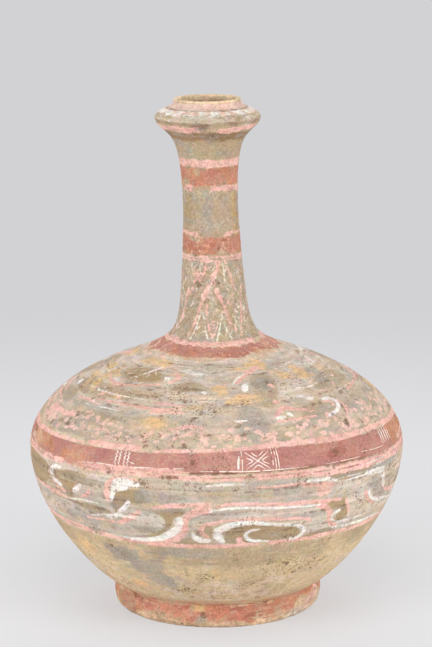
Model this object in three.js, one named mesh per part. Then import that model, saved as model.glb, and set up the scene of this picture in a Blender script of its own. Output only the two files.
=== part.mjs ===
// Funerary vase: a round-bodied earthenware bottle with a tall neck, a rimmed mouth
// and a ring foot, thrown in five sections that are luted together with clay slip.
// Millimetres, +Z up. The foot rests on z = 0 and the body's axis is x = y = 0.
// Every profile is drawn as (radius, height) and turned about that axis.

import * as THREE from 'three';

// Heights of the stacked sections. The whole vase is their sum, 381.5.
const footHeight = 18;         // table to the seat of the bowl
const bowlHeight = 104;        // seat to the widest line of the belly, and its seam
const shoulderHeight = 68;     // belly seam to the break where the wall turns up
const collarHeight = 15.5;     // break to the neck seam
const neckHeight = 139;        // neck seam to mouth seam
const mouthHeight = 37;        // mouth seam to the crest of the lip

// Outside radii
const footRadius = 76.6;       // top and bottom edge of the foot
const bellyRadius = 140.1;     // widest line of the body
const breakRadius = 66;        // where the shoulder turns up into the neck
const rootRadius = 25.6;       // neck, just above the curve of its root
const waistRadius = 20.6;      // narrowest part of the neck
const cupRadius = 31.2;        // mouth, where its flare starts to turn upright
const rimRadius = 39.4;        // widest line of the mouth
const lipRadius = 25;          // outside of the small upright lip

// Places on the neck and the mouth
const rootRise = 22;           // neck seam up to the end of the root curve
const waistRise = 99;          // neck seam up to the waist
const cupRise = 12.5;          // mouth seam up to where the flare turns upright
const rimRise = 23.1;          // mouth seam up to the rim's widest line
const lipHeight = 4.7;         // foot of the lip up to its crest
const collarFlare = 1.4;       // how far the foot of the lip stands out beyond it

// Directions of the wall, in degrees above level, outward being 0
const bowlSlope = 29.9;        // bowl wall as it leaves the foot
const shoulderSlope = 160.1;   // shoulder at its break
const rootSlope = 97.7;        // neck at the end of its root curve
const flareSlope = 44.5;       // mouth's flare where it turns upright
const rimTopSlope = 152;       // top of the mouth as it reaches the lip

// How fully each curve of the outside swells: its hold on the direction at its lower and
// at its upper end, as shares of the distance between the ends
const footPulls = [0.35, 0.35];
const bowlPulls = [0.221, 0.344];
const shoulderPulls = [0.134, 0.721];
const rootPulls = [0.592, 0.403];
const taperPulls = [0.184, 0.276];
const flarePulls = [0.8, 0.119];
const cupPulls = [0.464, 0.234];
const rimTopPulls = [0.227, 0.56];
const collarPulls = [0.22, 0.5];

// The same for what doesn't follow the outside
const undersidePulls = [0.4, 0.3];
const hollowPulls = [0.4, 0.3];
const underRimPulls = [0.25, 0.45];

// Wall thicknesses, square to the wall
const floorThickness = 9.5;
const bellyWall = 7.5;
const breakWall = 6.5;
const neckWall = 6;
const cupWall = 4.5;
const hollowDrop = 0.5;        // widest line of the rim down to the hollow's own
const lipThickness = 3.6;

// Foot ring
const footWall = 14.1;         // width of the ring at its seat
const footBow = 22;            // how far its bulging side leaves upright at top and bottom, in degrees
const footEdge = 1.6;          // bevel round the foot's lower edges
const floorDip = 3.5;          // how far the floor's underside hangs below the seat
const undersideSlope = 6;      // underside as it reaches the ring, in degrees

// Luted seams: an outer land where two sections meet face to face, and behind it a
// scored seat in both faces, which the slip fills
const landWidth = 2;
const scoreDepth = 0.5;
const slipClearance = 0.3;     // slip to the step behind the land
const slipBead = 1.4;          // slip squeezed out past the wall, inside the vase

// Incised lines that border the painted bands, by height
const grooveWidth = 1.6;
const grooveDepth = 0.6;
const bellyGrooveRise = 12;    // above the belly seam
const rootGrooveRise = 5;      // above the shoulder's break
const neckGrooveRises = [52.5, 58]; // above the neck seam

// The neck was luted on a little out of true and leans towards -X at its top
const neckLean = 3.8;

const bodySegments = 48;
const neckSegments = 40;
const leastStep = 0.05;        // points of a profile stay at least this far apart in height

// Heights above the table, worked out from the sections
const bellySeam = footHeight + bowlHeight;
const breakHeight = bellySeam + shoulderHeight;
const neckSeam = breakHeight + collarHeight;
const mouthSeam = neckSeam + neckHeight;
const vaseHeight = mouthSeam + mouthHeight;

const point = (radius, height) => new THREE.Vector2(radius, height);

const direction = (degrees) => {
  const angle = THREE.MathUtils.degToRad(degrees);
  return point(Math.cos(angle), Math.sin(angle));
};

// A cubic curve between two points of a profile. It leaves and arrives in the two
// given directions, and each pull is its hold on one of them, as a share of the chord.
function sweep(from, fromSlope, to, toSlope, [fromPull, toPull]) {
  const chord = from.distanceTo(to);
  const first = from.clone().addScaledVector(direction(fromSlope), fromPull * chord);
  const second = to.clone().addScaledVector(direction(toSlope), -toPull * chord);
  return new THREE.CubicBezierCurve(from, first, second, to);
}

// Points of the wall's far side: the curve moved inwards by a thickness that changes
// evenly from one end to the other
function offsetPoints(curve, steps, startWall, endWall) {
  const points = [];
  for (let i = 0; i <= steps; i++) {
    const t = i / steps;
    const tangent = curve.getTangent(t);
    const inward = point(-tangent.y, tangent.x);
    points.push(curve.getPoint(t).addScaledVector(inward, THREE.MathUtils.lerp(startWall, endWall, t)));
  }
  return points;
}

// Joins runs of points whose ends meet into one rising line
const chain = (...runs) => runs.flatMap((run, i) => (i === 0 ? run : run.slice(1)));

// The point where a rising line crosses a height
function crossing(line, height) {
  const next = line.findIndex((p) => p.y > height);
  const [a, b] = [line[next - 1], line[next]];
  return point(THREE.MathUtils.mapLinear(height, a.y, b.y, a.x, b.x), height);
}

// The stretch of a rising line between two heights, ending exactly on both
function between(line, low, high) {
  const inner = line.filter((p) => p.y > low + leastStep && p.y < high - leastStep);
  return [crossing(line, low), ...inner, crossing(line, high)];
}

// Cuts a V groove into a rising line at a height, square to the wall
function incise(line, height) {
  const tangent = crossing(line, height + leastStep).sub(crossing(line, height - leastStep)).normalize();
  const reach = (grooveWidth / 2) * tangent.y;
  const bottom = crossing(line, height).addScaledVector(point(-tangent.y, tangent.x), grooveDepth);
  return [
    ...line.filter((p) => p.y < height - reach - leastStep),
    crossing(line, height - reach),
    bottom,
    crossing(line, height + reach),
    ...line.filter((p) => p.y > height + reach + leastStep),
  ];
}

// Stations of the outside, from the seat of the bowl to the lip
const seatEdge = point(footRadius, footHeight);
const belly = point(bellyRadius, bellySeam);
const shoulderBreak = point(breakRadius, breakHeight);
const root = point(rootRadius, neckSeam + rootRise);
const waist = point(waistRadius, neckSeam + waistRise);
const cup = point(cupRadius, mouthSeam + cupRise);
const rim = point(rimRadius, mouthSeam + rimRise);
const collar = point(lipRadius + collarFlare, vaseHeight - lipHeight);
const lipCentre = point(lipRadius - lipThickness / 2, vaseHeight - lipThickness / 2);
const lipOutside = point(lipRadius, lipCentre.y);
const lipInside = point(lipRadius - lipThickness, lipCentre.y);

const bowlCurve = sweep(seatEdge, bowlSlope, belly, 90, bowlPulls);
const shoulderCurve = sweep(belly, 90, shoulderBreak, shoulderSlope, shoulderPulls);
const rootCurve = sweep(shoulderBreak, shoulderSlope, root, rootSlope, rootPulls);
const taperCurve = sweep(root, rootSlope, waist, 90, taperPulls);
const flareCurve = sweep(waist, 90, cup, flareSlope, flarePulls);
const cupCurve = sweep(cup, flareSlope, rim, 90, cupPulls);
const rimTopCurve = sweep(rim, 90, collar, rimTopSlope, rimTopPulls);
const collarCurve = sweep(collar, rimTopSlope, lipOutside, 90, collarPulls);

const plainOutside = chain(
  bowlCurve.getPoints(11),
  shoulderCurve.getPoints(11),
  rootCurve.getPoints(7),
  taperCurve.getPoints(3),
  flareCurve.getPoints(7),
  cupCurve.getPoints(3),
  rimTopCurve.getPoints(5),
  collarCurve.getPoints(2),
);
const grooves = [
  bellySeam + bellyGrooveRise,
  breakHeight + rootGrooveRise,
  ...neckGrooveRises.map((rise) => neckSeam + rise),
];
const outside = grooves.reduce(incise, plainOutside);

// Stations of the inside. The wall follows the outside as far as the mouth, whose
// hollow is turned by itself under the inward-sloping rim.
const wallFoot = offsetPoints(bowlCurve, 1, floorThickness, bellyWall)[0];
const wallCup = offsetPoints(flareCurve, 1, neckWall, cupWall)[1];
const floorCentre = point(0, footHeight - floorDip + floorThickness);
const hollow = point(rimRadius - cupWall, rim.y - hollowDrop);

// The floor runs out level and turns up into the wall, along the wall's own slope
const floorTurn = point(
  wallFoot.x - (wallFoot.y - floorCentre.y) / Math.tan(THREE.MathUtils.degToRad(bowlSlope)),
  floorCentre.y,
);
const floorCurve = new THREE.QuadraticBezierCurve(floorCentre, floorTurn, wallFoot);
const hollowCurve = sweep(wallCup, flareSlope, hollow, 90, hollowPulls);
const underRimCurve = sweep(hollow, 90, lipInside, 90, underRimPulls);

const inside = chain(
  offsetPoints(bowlCurve, 8, floorThickness, bellyWall),
  offsetPoints(shoulderCurve, 8, bellyWall, breakWall),
  offsetPoints(rootCurve, 5, breakWall, neckWall),
  offsetPoints(taperCurve, 2, neckWall, neckWall),
  offsetPoints(flareCurve, 5, neckWall, cupWall),
  hollowCurve.getPoints(2),
  underRimCurve.getPoints(5),
);

// The lower and the upper face of a seam, each drawn from the outside inwards. The
// upper section's face steps up behind the land, and the lower one's steps down.
function seamFace(height, step) {
  const edge = crossing(outside, height);
  return [
    edge,
    point(edge.x - landWidth, height),
    point(edge.x - landWidth, height + step),
    crossing(inside, height + step),
  ];
}
const faceBelowSeam = (height) => seamFace(height, -scoreDepth);
const faceAboveSeam = (height) => seamFace(height, scoreDepth);

// A section between two seams: up the outside, in, down the inside and out again
function sectionProfile(low, high) {
  return [
    ...between(outside, low, high),
    ...faceBelowSeam(high).slice(1),
    ...between(inside, low + scoreDepth, high - scoreDepth).slice(1, -1).reverse(),
    ...faceAboveSeam(low).reverse(),
  ];
}

const footInnerRadius = footRadius - footWall;
const seatInner = footInnerRadius + slipClearance;
const seatLand = footRadius - landWidth;

function footRingProfile() {
  const side = sweep(point(footRadius, footEdge), 90 - footBow, seatEdge, 90 + footBow, footPulls);
  return [
    point(footRadius - footEdge, 0),
    ...side.getPoints(5),
    point(seatLand, footHeight),
    point(seatLand, footHeight - scoreDepth),
    point(footInnerRadius, footHeight - scoreDepth),
    point(footInnerRadius, footEdge),
    point(footInnerRadius + footEdge, 0),
    point(footRadius - footEdge, 0),
  ];
}

function lowerBowlProfile() {
  const middle = point(0, footHeight - floorDip);
  const underside = sweep(middle, 0, point(seatInner, footHeight), undersideSlope, undersidePulls);
  return [
    ...underside.getPoints(3),
    point(seatInner, footHeight + scoreDepth),
    point(seatLand, footHeight + scoreDepth),
    point(seatLand, footHeight),
    ...between(outside, footHeight, bellySeam),
    ...faceBelowSeam(bellySeam).slice(1),
    ...between(inside, wallFoot.y, bellySeam - scoreDepth).slice(1, -1).reverse(),
    ...floorCurve.getPoints(3).reverse(),
  ];
}

function mouthProfile() {
  const lip = new THREE.EllipseCurve(lipCentre.x, lipCentre.y, lipThickness / 2, lipThickness / 2, 0, Math.PI);
  return [
    ...between(outside, mouthSeam, lipCentre.y - 2 * leastStep).slice(0, -1),
    ...lip.getPoints(4),
    ...between(inside, mouthSeam + scoreDepth, lipCentre.y - 2 * leastStep).slice(1, -1).reverse(),
    ...faceAboveSeam(mouthSeam).reverse(),
  ];
}

// Slip that fills a seam's scored seats and ends inside the vase in a rounded bead
function slipProfile(height) {
  const outer = crossing(outside, height).x - landWidth - slipClearance;
  const beadCentre = crossing(inside, height + scoreDepth).x - slipBead + scoreDepth;
  const bead = new THREE.EllipseCurve(beadCentre, height, scoreDepth, scoreDepth, Math.PI / 2, 1.5 * Math.PI);
  const start = point(outer, height - scoreDepth);
  return [start, point(outer, height + scoreDepth), ...bead.getPoints(4), start.clone()];
}

// Slip on the foot ring's seat, which ends level with the ring's inner side
function footSlipProfile() {
  const inner = seatInner + slipClearance;
  const outer = seatLand - slipClearance;
  const [low, high] = [footHeight - scoreDepth, footHeight + scoreDepth];
  return [point(inner, low), point(outer, low), point(outer, high), point(inner, high), point(inner, low)];
}

// How far a height on the vase is carried sideways by the neck's lean
function leanAt(height) {
  return (-neckLean * Math.max(0, height - breakHeight)) / (vaseHeight - breakHeight);
}

// Turns a profile about +Z and leans it
function turned(profile, segments) {
  const geometry = new THREE.LatheGeometry(profile, segments).rotateX(Math.PI / 2);
  const position = geometry.attributes.position;
  for (let i = 0; i < position.count; i++) {
    position.setX(i, position.getX(i) + leanAt(position.getZ(i)));
  }
  geometry.computeVertexNormals();
  return geometry;
}

const clay = (color, roughness = 0.9) => new THREE.MeshStandardMaterial({ color, roughness, metalness: 0 });

function piece(name, profile, segments, material) {
  const mesh = new THREE.Mesh(turned(profile, segments), material);
  mesh.name = name;
  return mesh;
}

const vase = new THREE.Group();
vase.name = 'funerary_vase';
vase.add(
  piece('foot_ring', footRingProfile(), bodySegments, clay('#b98a72')),
  piece('lower_bowl', lowerBowlProfile(), bodySegments, clay('#b7a488')),
  piece('shoulder', sectionProfile(bellySeam, neckSeam), bodySegments, clay('#b3a48a')),
  piece('neck', sectionProfile(neckSeam, mouthSeam), neckSegments, clay('#a99a80')),
  piece('mouth', mouthProfile(), neckSegments, clay('#a8977b')),
  piece('foot_slip', footSlipProfile(), bodySegments, clay('#8f8068', 0.95)),
  piece('belly_slip', slipProfile(bellySeam), bodySegments, clay('#8f8068', 0.95)),
  piece('neck_slip', slipProfile(neckSeam), neckSegments, clay('#8f8068', 0.95)),
  piece('mouth_slip', slipProfile(mouthSeam), neckSegments, clay('#8f8068', 0.95)),
);

export default vase;
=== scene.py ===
"""A painted earthenware bottle vase: ring foot, round body, tall neck and rimmed mouth.

Lengths are millimetres until a mesh is made. A place on the wall is an angle and a run. The angle
is in degrees round the vase, 0 at the front (-Y) and rising towards +X. The run is the length of
the outline up to that place, counted so that the bowl's seat is at 16.5. Each section of the vase
is one closed grid: rows of places that follow its profile, turned about the axis in even columns.
"""

import itertools
import math

import bpy
import numpy as np
from mathutils import Matrix, Vector


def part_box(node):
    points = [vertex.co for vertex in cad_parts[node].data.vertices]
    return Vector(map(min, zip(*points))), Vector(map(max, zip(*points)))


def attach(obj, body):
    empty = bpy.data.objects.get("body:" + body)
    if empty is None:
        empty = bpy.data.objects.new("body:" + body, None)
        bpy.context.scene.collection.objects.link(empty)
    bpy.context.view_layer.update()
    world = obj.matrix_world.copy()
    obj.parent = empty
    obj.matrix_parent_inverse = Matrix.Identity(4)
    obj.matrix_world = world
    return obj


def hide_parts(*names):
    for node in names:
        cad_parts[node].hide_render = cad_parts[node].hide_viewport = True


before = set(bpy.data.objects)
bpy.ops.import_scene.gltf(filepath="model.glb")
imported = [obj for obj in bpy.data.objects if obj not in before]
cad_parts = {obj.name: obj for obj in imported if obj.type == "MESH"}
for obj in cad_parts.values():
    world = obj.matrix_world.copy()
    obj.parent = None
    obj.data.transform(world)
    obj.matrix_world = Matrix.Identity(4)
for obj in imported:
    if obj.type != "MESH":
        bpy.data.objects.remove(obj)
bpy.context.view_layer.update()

# Sizes in millimetres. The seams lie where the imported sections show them.
MM = 0.001
FOOT_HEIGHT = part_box("foot_ring")[1].z / MM
BELLY_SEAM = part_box("lower_bowl")[1].z / MM
NECK_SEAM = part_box("shoulder")[1].z / MM
MOUTH_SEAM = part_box("neck")[1].z / MM
VASE_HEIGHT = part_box("mouth")[1].z / MM
BELLY_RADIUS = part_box("lower_bowl")[1].x / MM

FOOT_RADIUS = 76.6
FOOT_INNER_RADIUS = 62.5
FOOT_EDGE = 1.6
FOOT_BOW = 22
FLOOR_DIP = 3.5
BREAK_HEIGHT = BELLY_SEAM + 68
BREAK_RADIUS = 66
ROOT_HEIGHT = NECK_SEAM + 22
ROOT_RADIUS = 25.6
WAIST_HEIGHT = NECK_SEAM + 99
WAIST_RADIUS = 20.6
CUP_HEIGHT = MOUTH_SEAM + 12.5
CUP_RADIUS = 31.2
RIM_HEIGHT = MOUTH_SEAM + 23.1
RIM_RADIUS = 39.4
COLLAR_HEIGHT = VASE_HEIGHT - 4.7
COLLAR_RADIUS = 26.4
LIP_RADIUS = 25
LIP_THICKNESS = 3.6

# Slopes of the outline in degrees, 0 outwards and 90 up
BOWL_SLOPE = 29.9
SHOULDER_SLOPE = 160.1
ROOT_SLOPE = 97.7
FLARE_SLOPE = 44.5
RIM_TOP_SLOPE = 152

FLOOR_THICKNESS = 9.5
BELLY_WALL = 7.5
BREAK_WALL = 6.5
NECK_WALL = 6
CUP_WALL = 4.5
HOLLOW_DROP = 0.5

LAND_WIDTH = 2
SCORE_DEPTH = 0.5
SLIP_CLEARANCE = 0.3
NECK_LEAN = 3.8

# Fineness of the grids
BODY_COLUMNS = 640
NECK_COLUMNS = 320
BODY_ROW = 1.3
FOOT_ROW = 0.75
NECK_ROW = 0.7
MOUTH_ROW = 0.55
BODY_INSIDE_ROW = 6
NECK_INSIDE_ROW = 2
MOUTH_INSIDE_ROW = 0.9
CLOSEST_ROWS = 0.12

SEAT_RUN = 16.5  # run of the bowl's seat, from which the others count
ROOT_RUN = 264  # run where the neck's painting begins
LIP_DEPTH = 16  # how far down inside the lip the painted light goes, a pale colour that stands in for light
LIP_PAINTED_LIGHT = 1.5  # the painted light's signed distance there
BELT_RUN = 98  # run where the scroll belt begins
FAR = 9.0  # a signed distance that is well outside a painted mark
THIRDS = (0, 120, 240)  # turns at which the front's marks come again
MARKS_AGAIN, LINES_AGAIN = 76, 72  # angles beyond which repeated marks and fine lines are laid


# The outline

def heading(degrees):
    """Unit vector of a direction in the profile's plane, 0 outwards and 90 up."""
    return np.array([math.cos(math.radians(degrees)), math.sin(math.radians(degrees))])


def sweep(start, start_slope, start_pull, end, end_slope, end_pull, steps=80):
    """Cubic Bezier curve whose handles leave its ends along two slopes, each its pull times
    the chord long."""
    start, end = np.array(start, float), np.array(end, float)
    chord = np.linalg.norm(end - start)
    first = start + heading(start_slope) * start_pull * chord
    second = end - heading(end_slope) * end_pull * chord
    t = np.linspace(0, 1, steps + 1)[:, None]
    return ((1 - t) ** 3 * start + 3 * (1 - t) ** 2 * t * first
            + 3 * (1 - t) * t ** 2 * second + t ** 3 * end)


def moved_in(curve, start_wall, end_wall):
    """The curve moved inwards, square to itself, by a wall that changes evenly along it."""
    tangent = np.gradient(curve, axis=0)
    tangent /= np.linalg.norm(tangent, axis=1, keepdims=True)
    wall = np.linspace(start_wall, end_wall, len(curve))[:, None]
    return curve + np.stack([-tangent[:, 1], tangent[:, 0]], 1) * wall


def chain(*curves):
    """Curves that meet end to start, as one line of points."""
    return np.vstack([curves[0]] + [curve[1:] for curve in curves[1:]])


def lengths(line):
    """Length along a line of points up to each of them."""
    return np.concatenate([[0], np.cumsum(np.linalg.norm(np.diff(line, axis=0), axis=1))])


seat_edge = (FOOT_RADIUS, FOOT_HEIGHT)
belly = (BELLY_RADIUS, BELLY_SEAM)
shoulder_break = (BREAK_RADIUS, BREAK_HEIGHT)
root = (ROOT_RADIUS, ROOT_HEIGHT)
waist = (WAIST_RADIUS, WAIST_HEIGHT)
cup = (CUP_RADIUS, CUP_HEIGHT)
rim = (RIM_RADIUS, RIM_HEIGHT)
collar = (COLLAR_RADIUS, COLLAR_HEIGHT)
lip_outside = (LIP_RADIUS, VASE_HEIGHT - LIP_THICKNESS / 2)
lip_inside = (LIP_RADIUS - LIP_THICKNESS, VASE_HEIGHT - LIP_THICKNESS / 2)

foot_side = sweep((FOOT_RADIUS, FOOT_EDGE), 90 - FOOT_BOW, 0.35, seat_edge, 90 + FOOT_BOW, 0.35)
foot_outline = chain(np.array([[FOOT_RADIUS - FOOT_EDGE, 0], [FOOT_RADIUS, FOOT_EDGE]]), foot_side)
bowl_curve = sweep(seat_edge, BOWL_SLOPE, 0.221, belly, 90, 0.344)
shoulder_curve = sweep(belly, 90, 0.134, shoulder_break, SHOULDER_SLOPE, 0.721)
root_curve = sweep(shoulder_break, SHOULDER_SLOPE, 0.592, root, ROOT_SLOPE, 0.403)
taper_curve = sweep(root, ROOT_SLOPE, 0.184, waist, 90, 0.276)
flare_curve = sweep(waist, 90, 0.8, cup, FLARE_SLOPE, 0.119)
cup_curve = sweep(cup, FLARE_SLOPE, 0.464, rim, 90, 0.234, 30)
rim_top_curve = sweep(rim, 90, 0.227, collar, RIM_TOP_SLOPE, 0.56, 30)
collar_curve = sweep(collar, RIM_TOP_SLOPE, 0.22, lip_outside, 90, 0.5, 12)

body_outline = chain(bowl_curve, shoulder_curve, root_curve, taper_curve, flare_curve,
                     cup_curve, rim_top_curve, collar_curve)
OUTLINE = chain(foot_outline, body_outline)
OUTLINE_RUN = lengths(OUTLINE) - lengths(foot_outline)[-1] + SEAT_RUN
outline_tangent = np.gradient(OUTLINE, OUTLINE_RUN, axis=0)
outline_tangent /= np.linalg.norm(outline_tangent, axis=1, keepdims=True)

wall_foot = moved_in(bowl_curve, FLOOR_THICKNESS, BELLY_WALL)[0]
hollow = (RIM_RADIUS - CUP_WALL, RIM_HEIGHT - HOLLOW_DROP)
wall_cup = moved_in(flare_curve, NECK_WALL, CUP_WALL)[-1]
INSIDE = chain(
    moved_in(bowl_curve, FLOOR_THICKNESS, BELLY_WALL),
    moved_in(shoulder_curve, BELLY_WALL, BREAK_WALL),
    moved_in(root_curve, BREAK_WALL, NECK_WALL),
    moved_in(taper_curve, NECK_WALL, NECK_WALL),
    moved_in(flare_curve, NECK_WALL, CUP_WALL),
    sweep(wall_cup, FLARE_SLOPE, 0.4, hollow, 90, 0.3, 30),
    sweep(hollow, 90, 0.25, lip_inside, 90, 0.45, 40),
)


def radius_at(run):
    """Radius of the outside at a run."""
    return np.interp(run, OUTLINE_RUN, OUTLINE[:, 0])


def height_at(run):
    """Height of the outside at a run."""
    return np.interp(run, OUTLINE_RUN, OUTLINE[:, 1])


def run_at(height):
    """Run of the outside at a height above the foot."""
    return float(np.interp(height, OUTLINE[:, 1], OUTLINE_RUN))


def inside_at(height):
    """(radius, height) of the inside at a height."""
    return float(np.interp(height, INSIDE[:, 1], INSIDE[:, 0])), height


def lean(height):
    """Sideways shift of a height by the neck's lean, which starts at the shoulder's break."""
    rise = np.clip(np.asarray(height) - BREAK_HEIGHT, 0, None)
    return -NECK_LEAN * rise / (VASE_HEIGHT - BREAK_HEIGHT)


def turned(angle, radius, height):
    """Points at a radius and a height, turned to an angle and leaned with the neck."""
    turn = np.radians(angle)
    return np.stack([radius * np.sin(turn) + lean(height), -radius * np.cos(turn),
                     height + 0 * turn], -1)


def wall_point(angle, run):
    """Points of the smooth outside at places on the wall."""
    return turned(angle, radius_at(run), height_at(run))


def wall_normal(angle, run):
    """Unit normals of the smooth outside at places on the wall."""
    across = np.interp(run, OUTLINE_RUN, outline_tangent[:, 1])
    along = -np.interp(run, OUTLINE_RUN, outline_tangent[:, 0])
    turn = np.radians(angle)
    normal = np.stack([across * np.sin(turn), -across * np.cos(turn), along + 0 * turn], -1)
    return normal / np.linalg.norm(normal, axis=-1, keepdims=True)


# Noise

def cloud(points, size, seed, octaves=3):
    """Smooth random values from 0 to 1. A lattice of random numbers, one size apart, is blended
    with a smooth fade, and each further octave has half the size and half the weight."""
    side, shift = 64, 17.3
    table = np.random.default_rng(seed).random((side, side, side))
    total, weight = 0.0, 0.0
    for octave in range(octaves):
        scaled = (points / size * 2 ** octave + shift * octave).T
        cell = np.floor(scaled).astype(int)
        fade = scaled - cell
        fade = fade * fade * (3 - 2 * fade)
        shares, indices = (1 - fade, fade), (cell % side, (cell + 1) % side)
        for i, j, k in itertools.product((0, 1), repeat=3):
            share = shares[i][0] * shares[j][1] * shares[k][2]
            corner = table[indices[i][0], indices[j][1], indices[k][2]]
            total = total + 0.5 ** octave * share * corner
        weight += 0.5 ** octave
    return total / weight


def smooth_step(value, low, high):
    """0 below low, 1 above high and an S between them."""
    t = np.clip((value - low) / (high - low), 0, 1)
    return t * t * (3 - 2 * t)


def wrapped(angle):
    """An angle brought into -180 to 180 degrees."""
    return (angle + 180) % 360 - 180


# Brushwork. A layer holds, for every vertex, the signed distance in millimetres to the edge of
# its nearest mark, positive inside. The strokes and outlines are given as places.

LAYERS = (
    "wash", "blush", "tan", "olive", "grey", "ochre", "red", "orange", "wine", "dab", "pink", "white",
    "soil",
)

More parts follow.
